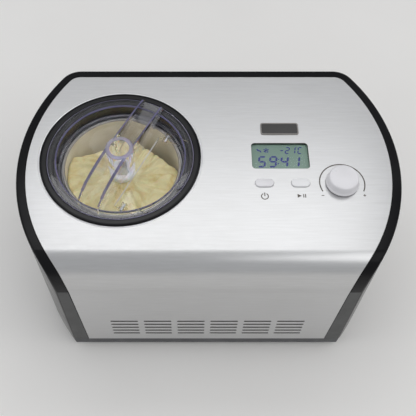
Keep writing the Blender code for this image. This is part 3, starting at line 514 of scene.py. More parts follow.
def cream_finish():
    """Vanilla ice cream: soft, slightly shiny, with streaks of deeper yellow."""
    soft = {"Subsurface_Weight": 0.2, "Subsurface_Scale": 0.004}
    look = Look("vanilla_ice_cream", (0.75, 0.68, 0.355), 0.36, **soft)
    streaks = look.noise(30, 5.0, stretch=(1.0, 1.0, 2.0), distortion=2.2)
    look.vary_colour(streaks, (0.60, 0.45, 0.13), 0.48, 0.74)
    look.vary_roughness(look.noise(70, 4.0), 0.3, 0.5)
    look.bump(look.noise(160, 5.0), 0.35 * MM, 0.7)
    look.bump(look.noise(900, 3.0), 0.05 * MM, 0.6)
    return look.material


def board_finish():
    """Green solder resist with faint copper tracks under it."""
    look = Look("circuit_board", (0.02, 0.13, 0.055), 0.35)
    tones = {"Color1": (0.02, 0.13, 0.055, 1), "Color2": (0.025, 0.17, 0.07, 1)}
    sockets = {"Scale": 120, "Mortar": (0.08, 0.26, 0.10, 1), **tones}
    tracks = look.node("ShaderNodeTexBrick", sockets)
    look.wire(look.places(), tracks.inputs["Vector"])
    look.wire(tracks.outputs["Color"], look.shader.inputs["Base Color"])
    look.bump(tracks.outputs["Fac"], 0.03 * MM)
    return look.material


def foam_finish():
    look = Look("insulation_foam", (0.76, 0.69, 0.48), 0.85)
    cells = look.node("ShaderNodeTexVoronoi", {"Scale": 500})
    look.wire(look.places(), cells.inputs["Vector"])
    look.bump(cells.outputs["Distance"], 0.5 * MM)
    look.vary_colour(look.noise(30, 4.0), (0.66, 0.56, 0.34))
    return look.material


def milky_finish(name, colour, roughness, weight):
    """Translucent white plastic or silicone."""
    look = Look(name, colour, roughness, Subsurface_Weight=weight, Subsurface_Scale=0.003)
    look.bump(look.noise(1400, 2.0), 0.015 * MM)
    look.vary_roughness(look.noise(80, 3.0), roughness * 0.85, roughness * 1.2)
    look.vary_colour(look.noise(30, 3.0), tuple(part * 0.94 for part in colour))
    return look.material


SMOOTH, SMOOTHER = 0.006 * MM, 0.004 * MM  # depths of grain
STEEL = steel_finish()
BLACK = gloss_black()
DARK = moulded("dark_grey_plastic", (0.055, 0.057, 0.062), 0.42)
COLLAR = moulded("collar_plastic", (0.016, 0.016, 0.017), 0.2, grain=SMOOTH, Specular_IOR_Level=0.22)
SILVER = moulded("light_grey_plastic", (0.76, 0.75, 0.77), 0.3, grain=SMOOTH)
WHITE = milky_finish("white_nylon", (0.84, 0.84, 0.82), 0.32, 0.3)
SILICONE = milky_finish("smoky_silicone", (0.09, 0.09, 0.10), 0.35, 0.2)
NYLON = milky_finish("natural_nylon", (0.74, 0.72, 0.63), 0.42, 0.2)
RUBBER = moulded("matt_rubber", (0.022, 0.022, 0.023), 0.78, grain=0.06 * MM)
ALUMINIUM = metal("aluminium", (0.74, 0.74, 0.75), 0.34, 500, (1, 1, 0.1))
# Painted shade: a darker metal for the top of the bowl's rim.
RIM_SHADE = metal("rim_painted_shade", (0.36, 0.34, 0.30), 0.5)
ZINC = metal("zinc_plate", (0.58, 0.58, 0.60), 0.36)
# Painted glint: a near-white metal standing in for the bright highlight along the steel's rolled edge by the
# bowl.
PAINTED_GLINT = metal("painted_glint_edge", (0.93, 0.93, 0.94), 0.42)
COPPER = metal("drawn_copper", (0.74, 0.34, 0.20), 0.28, 900)
# Black enamel, also used as painted shade on the condenser.
ENAMEL_AND_SLOT_SHADE = moulded("black_enamel", (0.014, 0.014, 0.015), 0.3, grain=0.03 * MM)
BOARD = board_finish()
FOAM = foam_finish()
CLEAR = clear_finish("clear_plastic", (0.60, 0.60, 0.90), 22)
# Painted glow: violet and pale edge colours standing in for light carried inside the clear plastic.
VIOLET_GLOW_EDGE = edge_finish("clear_plastic_painted_violet_glow", (0.22, 0.21, 0.37))
PALE_GLOW_EDGE = edge_finish("clear_plastic_painted_pale_glow", (0.40, 0.38, 0.54))
# Painted highlight: near-white for the hatch's cut edges.
PAINTED_LIT_EDGE = edge_finish("clear_plastic_painted_highlight", (0.92, 0.90, 0.90), 0.3)
SATIN = edge_finish("satin_clear_plastic", (0.62, 0.62, 0.63), 0.72)
PANE = pane_finish()
FROST = frosted_aluminium()
CREAM = cream_finish()
# Ink for the printed marks, also used as painted shade on the cut edges of the holes in the top.
PRINT_AND_EDGE_SHADE = moulded("printed_ink_and_edge_shade", (0.085, 0.07, 0.058), 0.5, grain=0.01 * MM)
LIQUID_CRYSTAL = moulded("liquid_crystal", (0.17, 0.238, 0.204), 0.35, grain=SMOOTHER)
SEGMENT = moulded("dark_segment", (0.025, 0.025, 0.2), 0.4, grain=SMOOTHER)
BADGE_RIM = moulded("badge_rim", (0.25, 0.235, 0.22), 0.4, grain=0.01 * MM)
# Painted reflection: a lighter black for the housing's front faces.
FRONT_SHEEN_BLACK = moulded("black_plastic_painted_front_sheen", (0.028, 0.03, 0.03), 0.34)
# Painted shade for the steel's cut edges on the front.
EDGE_SHADE = moulded("cut_edge_painted_shade", (0.004, 0.004, 0.004), 0.7, Specular_IOR_Level=0.08)
# Painted light: a lighter copy of the key plastic for the start key.
LIT_KEY_PLASTIC = moulded("light_grey_plastic_painted_lit", (0.87, 0.87, 0.88), 0.3, grain=SMOOTH)
BADGE = moulded("badge_plastic", (0.04, 0.038, 0.036), 0.35, grain=0.03 * MM)

SLOT_FINISH = dict(
    brushed_steel=STEEL, black_gloss=BLACK, dark_grey=DARK, aluminium=ALUMINIUM, copper=COPPER,
    foam=FOAM, white=WHITE, clear=CLEAR, silicone=SILICONE, zinc=ZINC, nylon=NYLON, enamel=ENAMEL_AND_SLOT_SHADE,
    circuit_board=BOARD, silver=SILVER, display=PANE, rubber=RUBBER
)


def finish_cad_nodes():
    """Every CAD node gets its finish and softer edges."""
    for row in frame["record"]["subparts"]:
        node = frame["nodes"][row["node"]]
        # The condenser takes the black enamel in place of its aluminium: painted shade, so the air slots in
        # front of it read dark.
        finish = ENAMEL_AND_SLOT_SHADE if row["node"] == "condenser" else SLOT_FINISH[row["material_slot"]]
        node.data.materials.clear()
        node.data.materials.append(finish)
        modify(node, "weld", "WELD", merge_threshold=WELD)
        round_edges(node, 0.25 * MM, 2, 50)
        shade(node.data, 35)


# ---- Camera, floor and light ----


def make_camera():
    data = bpy.data.cameras.new("camera")
    data.lens = 57.1
    data.sensor_width = 36
    data.shift_x = 0.042
    camera = link("camera", data)
    camera.location = (-19.9 * MM, -421.6 * MM, 811.5 * MM)
    camera.rotation_euler = (radians(90 - 58.9), 0, 0)
    SCENE.camera = camera


def make_floor():
    look = Look("pale_floor", (0.96, 0.945, 0.92), 0.55)
    look.vary_colour(look.noise(3, 4.0), (0.93, 0.915, 0.89))
    look.vary_roughness(look.noise(20, 3.0), 0.5, 0.62)
    bm = bmesh.new()
    bmesh.ops.create_grid(bm, x_segments=8, y_segments=8, size=4.0)
    floor = mesh_object("floor", bm)
    floor.data.materials.append(look.material)


def area_light(name, place, target, size, power, colour=(1, 1, 1)):
    data = bpy.data.lights.new(name, "AREA")
    data.shape = "RECTANGLE"
    data.size, data.size_y = size
    data.energy = power
    data.color = colour
    lamp = link(name, data)
    lamp.location = place
    lamp.rotation_euler = (Vector(target) - Vector(place)).to_track_quat("-Z", "Y").to_euler()


def make_light():
    world = bpy.data.worlds.new("studio")
    world.use_nodes = True
    background = world.node_tree.nodes["Background"]
    background.inputs["Color"].default_value = (0.96, 0.975, 1.0, 1)
    background.inputs["Strength"].default_value = 0.53
    SCENE.world = world
    SCENE.view_settings.view_transform = "Standard"
    area_light("overhead", (-0.01, 0.52, 1.36), (-0.02, 0.0, 0.2), (1.14, 0.36), 2.6)
    area_light("right_fill", (1.3, -0.1, 0.9), (0, 0, 0.1), (0.8, 0.8), 1.5, (1.0, 0.98, 0.95))
    area_light("front_fill", (0.6, -0.42, 1.3), (0.05, -0.1, 0.15), (0.9, 0.7), 2.2)
    area_light("left_fill", (-1.4, -0.3, 0.8), (0, 0, 0.05), (0.8, 0.8), 3)


def heights(points, base=0.0):
    """Points (across, up) from millimetres, up counted from a base."""
    return [(across * MM, base + up * MM) for across, up in points]


def above_top(points):
    return heights(points, TOP)


# ---- Casing ----


def half_width(y, inset=0.0):
    return SIDE_X + sqrt((SIDE_RADIUS - inset) ** 2 - (y - SIDE_Y) ** 2)


def right_edge(inset, start_y, side_steps=28, corner_steps=14):
    """Plan points of the right side from start_y round the back corner, on the edge less inset."""
    centre_y = BACK - CORNER
    centre_x = SIDE_X + sqrt((SIDE_RADIUS - CORNER) ** 2 - (centre_y - SIDE_Y) ** 2)
    tangent = atan2(centre_y - SIDE_Y, centre_x - SIDE_X)
    radius = CORNER - inset
    end_y = centre_y + radius * sin(tangent)
    edge = []
    for step in range(side_steps):
        y = start_y + (end_y - start_y) * step / side_steps
        edge.append((half_width(y, inset), y))
    for step in range(corner_steps + 1):
        angle = tangent + (pi / 2 - tangent) * step / corner_steps
        edge.append(on_circle((centre_x, centre_y), radius, angle))
    return edge


def bend(steps=24):
    """(y, z) points of the outer surface from the crease on the front face up to the flat top."""
    arc = []
    for step in range(steps + 1):
        angle = BEND_ANGLE * (1 - step / steps)
        y = BEND_Y - BEND_RADIUS * sin(angle)
        arc.append((y, TOP - BEND_RADIUS * (1 - cos(angle))))
    y, z = arc[0]
    return [(FRONT, z - (y - FRONT) * tan(BEND_ANGLE)), *arc]


def body_outline(inset):
    right = right_edge(inset, FRONT + inset)
    return [(x * FLARE, y) for x, y in right] + [(-x * FLARE, y) for x, y in reversed(right)]


VENT_BLOCKS, VENT_ROWS = 6, 5
VENT_SIZE = (32.4 * MM, 3 * MM)
VENT_PITCH = (39 * MM, 9.6 * MM)
VENT_TOP = TOP - 127.5 * MM
DISPLAY = box_centre("lcd_module")
DISPLAY_SIZE = box_size("lcd_module")
POWER_BUTTON = box_centre("power_button")
START_BUTTON = box_centre("start_button")
BUTTON_SIZE = (21.2 * MM, 10.8 * MM)


def make_panel():
    """The bent stainless panel: flat top, bend, and front with its air slots."""
    inset = BORDER + SEAM
    rows = [(PANEL_FOOT, FRONT, BODY_FOOT)]
    rows += [(half_width(y, inset), y, z) for y, z in bend()]
    rows += [(x, y, TOP) for x, y in right_edge(inset, BEND_Y)[1:]]
    bm = bmesh.new()
    pairs = [(bm.verts.new((-x, y, z)), bm.verts.new((x, y, z))) for x, y, z in rows]
    for (left, right), (next_left, next_right) in zip(pairs, pairs[1:]):
        bm.faces.new((left, right, next_right, next_left))
    panel = mesh_object("steel_panel", bm)
    thicken(panel, SHEET)
    low, high = TOP - 5 * MM, TOP + 5 * MM
    bowl_hole = bar("bowl_hole", (*BOWL, low), (*BOWL, high), BOWL_HOLE, FINE)
    outlines = [
        round_box(DISPLAY, DISPLAY_SIZE, 4 * MM),
        stadium(POWER_BUTTON, BUTTON_SIZE),
        stadium(START_BUTTON, BUTTON_SIZE),
        circle(KNOB, KNOB_HOLE),
    ]
    slots = []
    for row in range(VENT_ROWS):
        for column in range(VENT_BLOCKS):
            x = (column - (VENT_BLOCKS - 1) / 2) * VENT_PITCH[0]
            slots.append(stadium((x, VENT_TOP - row * VENT_PITCH[1]), VENT_SIZE, 8))
    cutters = [bowl_hole, plate("control_holes", outlines, low, high)]
    cutters.append(plate("vents", slots, -FRONT - 6 * MM, -FRONT + 4 * MM, UPRIGHT))
    boolean(panel, cutters, "DIFFERENCE")
    bevel(panel, 0.6 * MM, 2)
    flatten_normals(panel)
    show(panel, STEEL, "root", "brushed_steel", "top_front_panel")
    # The sheet's cut edges get painted shade: near-black on the front, for the dark seam and air slots, and
    # the brown-grey ink on the holes in the top.
    panel.data.materials.append(EDGE_SHADE)
    panel.data.materials.append(PRINT_AND_EDGE_SHADE)
    for face in panel.data.polygons:
        if abs(face.normal.dot(sheet_normal(face.center))) < CUT_TILT:
            face.material_index = 1 if face.center.y < BEND_Y else 2


def sheet_normal(place):
    """Outward direction of the bent sheet near a place on it."""
    turn = atan2(BEND_Y - place.y, place.z - TOP + BEND_RADIUS)
    turn = min(max(turn, 0), BEND_ANGLE)
    return Vector((0, -sin(turn), cos(turn)))


def make_housing():
    """The black moulding: a border around the steel, both side walls and the back wall."""
    crease, *arc = bend()
    rows = [((half_width(y, BORDER), y, z), (half_width(y), y, z)) for y, z in (crease, *arc)]
    inner = right_edge(BORDER, BEND_Y)[1:]
    outer = right_edge(0, BEND_Y)[1:]
    rows += [((*a, TOP), (*b, TOP)) for a, b in zip(inner, outer)]
    rows.append(((0, BACK - BORDER, TOP), (0, BACK, TOP)))
    bm = bmesh.new()
    inner_foot = bm.verts.new((PANEL_FOOT + SEAM, FRONT, BODY_FOOT))
    outer_foot = bm.verts.new((half_width(FRONT) * FLARE, FRONT, BODY_FOOT))
    ribs = []
    for inside, outside in rows:
        low = bm.verts.new((outside[0] * FLARE, outside[1], BODY_FOOT)) if ribs else outer_foot
        ribs.append((bm.verts.new(inside), bm.verts.new(outside), low))
    bm.faces.new((inner_foot, outer_foot, ribs[0][1], ribs[0][0]))
    for (a, b, c), (next_a, next_b, next_c) in zip(ribs, ribs[1:]):
        bm.faces.new((a, b, next_b, next_a))
        bm.faces.new((b, c, next_c, next_b))
    housing = mesh_object("black_housing", bm)
    modify(housing, "mirror", "MIRROR", merge_threshold=WELD)
    round_edges(housing, 2.2 * MM, 5)
    thicken(housing, WALL)
    outline = round_box(COVER, less(COVER_SIZE, 16 * MM), COVER_CORNER)
    opening = plate("rear_opening", [outline], -BACK - 5 * MM, -BACK + 8 * MM, UPRIGHT)
    heads = [circle(screw, 3.4 * MM, 32) for screw in SCREWS]
    head_holes = plate("head_holes", heads, -BACK - 5 * MM, -BACK + 1.5 * MM, UPRIGHT)
    boolean(housing, [opening, head_holes], "DIFFERENCE")
    flatten_normals(housing)
    show(housing, BLACK, "root", "black_gloss", "outer_housing")
    # Faces turned to the front get a lighter, rougher black: the rougher gloss is real, the lighter colour is
    # a painted reflection standing in for the grey sheen of the glossy front.
    housing.data.materials.append(FRONT_SHEEN_BLACK)
    for face in housing.data.polygons:
        if face.normal.y < -UPRIGHT_FRONT:
            face.material_index = 1


def make_base():
    """The tray under the body, and its rubber feet."""
    low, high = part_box("base_tray")
    tray = plate("tray", [body_outline(0.8 * MM)], low.z, high.z, edge=1.2 * MM)
    hollow = plate("tray_hollow", [body_outline(3.3 * MM)], low.z + WALL, high.z + 5 * MM)
    boolean(tray, [hollow], "DIFFERENCE")
    show(flatten_normals(tray), DARK, "root", "dark_grey", "base_tray")
    for node in ("foot_front_left", "foot_front_right", "foot_back_left", "foot_back_right"):
        top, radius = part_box(node)[1].z, box_size(node)[0] / 2
        profile = [(0, top), (radius - 1.5 * MM, top), (radius, 3 * MM), (radius, 1.2 * MM)]
        profile += [(radius - 1.4 * MM, 0), *heights([(5, 0), (4.4, 0.8), (0, 0.8)])]
        show(turned(node + "_pad", profile, box_centre(node), 0.6 * MM, 48), RUBBER, "root", "rubber", node)


# ---- Bowl side ----


LID_FRAME = Matrix.Translation((*BOWL, 0)) @ Matrix.Rotation(LID_ANGLE - pi, 4, "Z")


def finish_faces(obj, finish, chosen):
    """Gives another finish to faces, chosen by their place in the lid's frame and upward tilt."""
    obj.data.materials.append(finish)
    back = LID_FRAME.inverted()
    for face in obj.data.polygons:
        place = back @ face.center
        if chosen(-place.x, place.y, place.z - TOP, face.normal.z):
            face.material_index = len(obj.data.materials) - 1


def make_collar():
    """The dark ring round the bowl with its black outer edge, a painted shadow line, and the steel's rolled
    edge by it, whose bright line is a painted glint.
    """
    lip = [(87.4, 1.3), (88.6, 1.3), (90, 0.9), (90, 0.3), (84.5, 0.3), (84.5, -21)]
    seat = [(68.6, -21), (68.6, -19), (77, -19), (77, -2.8), (82.6, -2.8), (82.6, 0.9), (83, 1.3)]
    ring = turned("collar_ring", above_top(lip + seat), BOWL, 0.5 * MM, FINE)
    show(ring, COLLAR, "root", "dark_grey", "bowl_collar")
    # Faces beyond 87.2 mm get the gloss black: painted shade, a dark line standing in for the shadow in the
    # gap by the steel.
    finish_faces(ring, BLACK, lambda u, v, w, tilt: hypot(u, v) > 87.2 * MM)
    # The rolled edge takes the painted glint finish, a highlight painted into its colour.
    bead = [(90.4, -0.2), (90.4, 0.35), (91.1, 0.6), (91.9, 0.3), (92.2, -0.2)]
    show(turned("rolled_edge", above_top(bead), BOWL, 0.2 * MM, FINE), PAINTED_GLINT, "root", "brushed_steel")


def make_bowl():
    outside = [(67.5, 193), (67.5, 191), (66, 190), (66, 75), (63, 72), (7, 72)]
    spindle = [(7, 132), (9, 132), (9, 76), (11, 74)]
    inside = [(61, 74), (64.4, 77.5), (64.4, 191.8), (65.4, 193)]
    bowl = turned("bowl", heights(outside + spindle + inside), BOWL, 0.5 * MM, FINE)
    show(bowl, FROST, "bowl", "aluminium", "mixing_bowl")
    finish_faces(bowl, ALUMINIUM, lambda u, v, w, tilt: hypot(u, v) > 65.4 * MM)
    # The rim's upward faces get a darker, brownish metal: painted shade that tones down the rim's brightness.
    finish_faces(bowl, RIM_SHADE, lambda u, v, w, tilt: hypot(u, v) > 64.3 * MM and tilt > 0.3)


def make_paddle():
    """The stirrer: a translucent hub over the bowl's spindle, and two open blades."""
    head = [(0, 176), (5, 176), (5, 185), (12.8, 185), (14.5, 183.5), (14.5, 178), (12.5, 175)]
    bore = [(12.5, 80), (13.5, 76), (9.7, 76), (9.7, 133), (0, 133)]
    paddle = turned("stirring_paddle", heights(head + bore), BOWL, 0.5 * MM, 64)
    blade = fillet(heights([(11, 77), (57, 77), (61.5, 81), (61.5, 146), (54, 152), (11, 160)]), 3 * MM)
    window = fillet(heights([(20, 90), (50, 90), (52, 93), (52, 136), (20, 142)]), 3 * MM)
    blades = []
    for name, side in (("right_blade", 0), ("left_blade", pi)):
        matrix = Matrix.Translation((*BOWL, 0)) @ Matrix.Rotation(side, 4, "Z") @ UPRIGHT
        blades.append(plate(name, [blade, window], -1.3 * MM, 1.3 * MM, matrix, edge=0.5 * MM))
    boolean(paddle, blades, "UNION")
    show(paddle, WHITE, "paddle", "white", "paddle")


def smoothstep(value):
    value = min(max(value, 0.0), 1.0)
    return value * value * (3 - 2 * value)


CREAM_INNER, CREAM_OUTER = 12.9 * MM, 63.7 * MM
CREAM_BASE = 79 * MM
CREAM_RINGS, CREAM_SPOKES = 72, 240


def cream_height(radius, angle):
    """Height of the ice cream: a pile up to a crest behind the hub, a hollow beyond the crest, and
    folds that run from the hub to the wall."""
    x, y = radius * cos(angle), radius * sin(angle)
    share = radius / CREAM_OUTER
    drift = noise.noise(Vector((x, y, 0)) * 32)
    crest = 44 * MM - 0.3 * abs(x) if x < 0 else 44 * MM - 9.5 * x * x
    pile = smoothstep((crest + 4 * MM * drift - y) / (24 * MM) + 0.75)
    height = 130 * MM + 46 * MM * pile + 3 * MM * smoothstep((crest - y) / (80 * MM)) * share
    fold = 3.5 * angle - 3.2 * share**1.3 + 1.6 * drift
    height += 3.2 * MM * (abs(sin(fold)) ** 0.6 - 0.5) * smoothstep(share * 2.2 - 0.3)
    ripple = 28 * angle - 8 * share + 6 * drift
    height += 1.1 * MM * sin(ripple) * smoothstep(share * 2 - 0.4)
    height += 1.4 * MM * noise.fractal(Vector((x, y, 0.3)) * 70, 1.0, 2.0, 4)
    return height


def make_ice_cream():
    """The mixture in the bowl. It turns with the paddle."""
    rings, spokes = CREAM_RINGS, CREAM_SPOKES
    bm = bmesh.new()
    loops = []
    for ring in range(rings + 1):
        radius = CREAM_INNER + (CREAM_OUTER - CREAM_INNER) * ring / rings
        edge = 1.6 * MM * smoothstep((ring - rings + 5) / 5) ** 2
        places = [(*on_circle(BOWL, radius, a), cream_height(radius, a) - edge) for a in turns(spokes)]
        loops.append([bm.verts.new(place) for place in places])
    under = [(CREAM_OUTER, 84 * MM), (CREAM_OUTER - 4 * MM, CREAM_BASE), (CREAM_INNER, CREAM_BASE)]
    for radius, height in under:
        loops.append([bm.verts.new((*on_circle(BOWL, radius, a), height)) for a in turns(spokes)])
    skin(bm, zip(loops, loops[1:] + loops[:1]), spokes)
    show(mesh_object("ice_cream", bm, 60), CREAM, "paddle", "white")


# ---- Lid ----


def lid_block(name, u, v, w, edge=0.0):
    """A block from ranges along and across the handle and of height."""
    obj = block(name, (-u[1], v[0], w[0]), (-u[0], v[1], w[1]), LID_FRAME)
    return bevel(obj, edge) if edge else obj


def lid_profile():
    hub = [(0, -14), (11, -14), (11, 16), (15.5, 16), (15.5, -14)]
    rim = [(71.3, -14), (71.3, -0.4), (72.2, 0.9), (73.2, 0.9), (81.6, 0.9), (82, 0.5)]
    skirt = [(82, -2.2), (80.2, -2.2), (80.2, -1), (73.5, -1), (73.5, -16)]
    pivot = [(4, -16), (4, -30), (3.5, -30.5), (0, -30.5)]
    return above_top(hub + rim + skirt + pivot)


def side_view(points):
    """Points along the handle and above the top, as they lie in an upright plate."""
    return above_top([(-u, w) for u, w in points])


def fin_outline():
    """Side view of a handle fin: high over the far rim, and falling steeply to the near one."""
    far = [(72, -15), (72, 0.2), (77, 0.2), (77, 9.5), (74, 11.5), (58, 12.9), (38, 14.2), (12, 15.4)]
    near = [(-10, 16), (-22, 15.6), (-36, 13.8), (-52, 10.6), (-63, 5.6), (-71, 0.2), (-72, -15)]
    return fillet(side_view(far + near), 6 * MM)


def rib_outline():
    """Side view of the thicker rib along the near half of a fin's top."""
    top = [(-8.3, 15.6), (-22, 15.2), (-36, 13.4), (-52, 10.2), (-61, 6.0)]
    under = [(-58, 4.9), (-50, 7.9), (-36, 10.9), (-22, 12.9), (-8.3, 13.3)]
    return side_view(top + under)


def pin_bore(name):
    """The bore through which the hinge pins run."""
    reach = HATCH_HALF + 5 * MM
    ends = [LID_FRAME @ Vector((u, HINGE_V, HINGE_Z)) for u in (reach, -reach)]
    return bar(name, *ends, PIN_BORE)


def hinge_blocks(name, inner, outer):
    """A boss or a knuckle at each end of the hatch's hinge."""
    across, level = (HINGE_V - 3 * MM, HINGE_V + 3 * MM), (TOP - 15 * MM, TOP - 8 * MM)
    far = lid_block("far_" + name, (inner, outer), across, level, 0.8 * MM)
    return [far, lid_block("near_" + name, (-outer, -inner), across, level, 0.8 * MM)]


def finish_edges(obj):
    """Narrow edges that face upwards get a painted violet glow, standing in for the light gathered inside the
    plastic.
    """
    chosen = [(VIOLET_GLOW_EDGE, violet_edge), (PALE_GLOW_EDGE, pale_edge), (PAINTED_LIT_EDGE, lit_edge)]
    for finish, condition in (*chosen, (SATIN, satin_face), (WHITE, pivot_face)):
        finish_faces(obj, finish, condition)


def violet_edge(u, v, w, tilt):
    fin_top = abs(abs(v) - FIN_V) < RIB_HALF + 0.05 * MM and w > 1.2 * MM and tilt > 0.3
    reach = hypot(u, v)
    wall_top = 71 * MM < reach < 73.1 * MM and w > -0.5 * MM
    tab_edge = v > 74 * MM and w > 1 * MM and 0.05 < tilt < 0.95
    return (fin_top and reach > 15.7 * MM) or wall_top or tab_edge


def pale_edge(u, v, w, tilt):
    hub_top = 10.8 * MM < hypot(u, v) < 15.7 * MM and w > 14.9 * MM
    return hub_top or (hypot(u, v) > 81.2 * MM and w > 0.2 * MM)


# The hatch's cut edges get a near-white painted highlight.
def lit_edge(u, v, w, tilt):
    hatch_edge = HATCH_EDGE - 1.5 * GAP < v < HATCH_EDGE + 1 * MM
    return hatch_edge and abs(u) < HATCH_HALF - 5 * MM and (tilt < 0.5 or -14 * MM < w < -13 * MM)


def satin_face(u, v, w, tilt):
    ramp = 57.5 * MM < u < 79.5 * MM and abs(v) < FIN_V - 1.1 * MM and tilt > 0.7 and w > -7.5 * MM
    return ramp or (v > 74 * MM and w > 2.2 * MM and tilt > 0.95)


# The lid's clear pivot under the hub gets the white nylon finish: painted light, lightening a part that sits
# in shade.
def pivot_face(u, v, w, tilt):
    return hypot(u, v) < 4.2 * MM and w < -15.9 * MM


def make_lid():
    """The clear lid: a dished cover with an arched handle, a hub and a cut-out for the hatch."""
    lid = turned("clear_lid", lid_profile(), BOWL, 0.7 * MM, FINE)
    reach = HATCH_HALF + GAP
    across = (HATCH_EDGE - GAP, HATCH_BEYOND)
    gap = lid_block("hatch_gap", (-reach, reach), across, HATCH_HEIGHTS)
    boolean(lid, [gap], "DIFFERENCE")
    pieces, matrix = [], LID_FRAME @ UPRIGHT
    for name, v in (("left_fin", -FIN_V), ("right_fin", FIN_V)):
        pieces.append(plate(name, [fin_outline()], -v - 1 * MM, -v + 1 * MM, matrix, edge=0.5 * MM))
        pieces.append(plate(name + "_rib", [rib_outline()], -v - RIB_HALF, -v + RIB_HALF, matrix))
    ramp = side_view([(80, 2.8), (78, 2.8), (57, -8), (57, -10), (58.5, -10), (80, 0.6)])
    reach = FIN_V + 0.5 * MM
    pieces.append(plate("handle_ramp", [fillet(ramp, 0.8 * MM)], -reach, reach, matrix))
    pieces += hinge_blocks("boss", HATCH_HALF + 0.6 * MM, HATCH_HALF + 5.6 * MM)
    boolean(lid, pieces, "UNION")
    boolean(lid, [pin_bore("lid_pin_bore")], "DIFFERENCE")
    show(lid, CLEAR, "lid", "clear", "lid")
    finish_edges(lid)

    ring = above_top([(74.3, -16.4), (74.3, -18.6), (70.5, -18.6), (70.5, -16.4)])
    show(turned("seal_ring", ring, BOWL, 0.5 * MM, FINE), SILICONE, "lid", "silicone", "lid_seal")


def make_hatch():
    """The part of the lid that swings up to let ingredients in."""
    hatch = turned("clear_hatch", lid_profile(), BOWL, 0.7 * MM, FINE)
    across = (HATCH_EDGE, HATCH_BEYOND)
    whole = lid_block("hatch_piece", (-HATCH_HALF, HATCH_HALF), across, HATCH_HEIGHTS)
    boolean(hatch, [whole], "INTERSECT")
    almond = heights([(-13, 76.6), (-7, 75), (7, 75), (13, 76.6), (8, 80.6), (-8, 80.6)])
    tab = plate("hatch_tab", [fillet(almond, 3 * MM)], TOP + 0.4 * MM, TOP + 2.6 * MM, LID_FRAME, edge=1 * MM)
    knuckles = hinge_blocks("knuckle", HATCH_HALF - 5.6 * MM, HATCH_HALF - 0.2 * MM)
    across, reach = (HATCH_EDGE, HATCH_EDGE + 0.9 * MM), HATCH_HALF - 6 * MM
    bead = lid_block("edge_bead", (-reach, reach), across, (TOP - 14.6 * MM, TOP - 13.4 * MM))
    boolean(hatch, [tab, bead, *knuckles], "UNION")
    boolean(hatch, [pin_bore("hatch_pin_bore")], "DIFFERENCE")
    show(hatch, CLEAR, "hatch", "clear", "fill_hatch")
    finish_edges(hatch)


# ---- Controls ----

INK = 0.05 * MM  # thickness of print and of display segments


def stroke(centre, radius, width, start, end, steps=64):
    """Outline of an arc drawn with a pen, between two angles in degrees."""
    inner = arc(centre, radius - width / 2, start, end, steps)
    return arc(centre, radius + width / 2, start, end, steps) + inner[::-1]


def rectangle(centre, size):
    (x, y), (half_x, half_y) = centre, (size[0] / 2, size[1] / 2)
    corners = ((-1, -1), (1, -1), (1, 1), (-1, 1))
    return [(x + sx * half_x, y + sy * half_y) for sx, sy in corners]


def make_prints():
    """The grey marks printed on the steel: power, start and pause, and the knob's scale."""
    x, y = POWER_BUTTON[0] - 0.4 * MM, POWER_BUTTON[1] - 16.8 * MM
    marks = [stroke((x, y), 3.7 * MM, 1.1 * MM, 118, 422)]
    marks.append(rectangle((x, y + 2.4 * MM), (1.1 * MM, 4.6 * MM)))
    x, y = START_BUTTON[0] - 0.3 * MM, START_BUTTON[1] - 16.2 * MM
    marks.append([(x - 4.4 * MM, y - 2.4 * MM), (x, y), (x - 4.4 * MM, y + 2.4 * MM)])
    marks += [rectangle((x + step * MM, y), (1 * MM, 4.4 * MM)) for step in (2.2, 4.2)]
    marks.append(stroke(KNOB, 24.5 * MM, 1.3 * MM, -26, 206, 96))
    reach, level = 22.5 * MM, KNOB[1] - 16 * MM
    long, thin = 3 * MM, 0.9 * MM
    marks.append(rectangle((KNOB[0] - reach, level), (long, thin)))
    plus = [(long / 2, thin / 2), (thin / 2, thin / 2), (thin / 2, long / 2)]
    for quarter in range(3):
        plus += [(-dy, dx) for dx, dy in plus[-3:]]
    marks.append([(KNOB[0] + reach + dx, level + dy) for dx, dy in plus])
    show(plate("control_marks", marks, TOP, TOP + INK), PRINT_AND_EDGE_SHADE, "root", "dark_grey")


DIGITS = {"1": "bc", "2": "abdeg", "4": "bcfg", "5": "acdfg", "9": "abcdfg", "C": "adef", "-": "g"}
SLANT = 0.16


def segments(character, corner, size, thick):
    """Outlines of the bars of a seven-bar digit from its lower left corner."""
    (x, y), (width, height) = corner, size
    gap, half = 0.12 * thick, thick / 2
    low, middle, high = y + half, y + height / 2, y + height - half
    left, right = x + half, x + width - half
    bars = {"a": (high, left, right), "g": (middle, left, right), "d": (low, left, right)}
    bars.update({"f": (left, middle, high), "b": (right, middle, high)})
    bars.update({"e": (left, low, middle), "c": (right, low, middle)})
    outlines = []
    for name in DIGITS[character]:
        at, start, end = bars[name]
        start, end = start + gap, end - gap
        along = (start, start + half, end - half, end, end - half, start + half)
        across = (at, at + half, at + half, at, at - half, at - half)
        points = zip(along, across) if name in "adg" else zip(across, along)
        outlines.append([(px + SLANT * (py - y), py) for px, py in points])
    return outlines


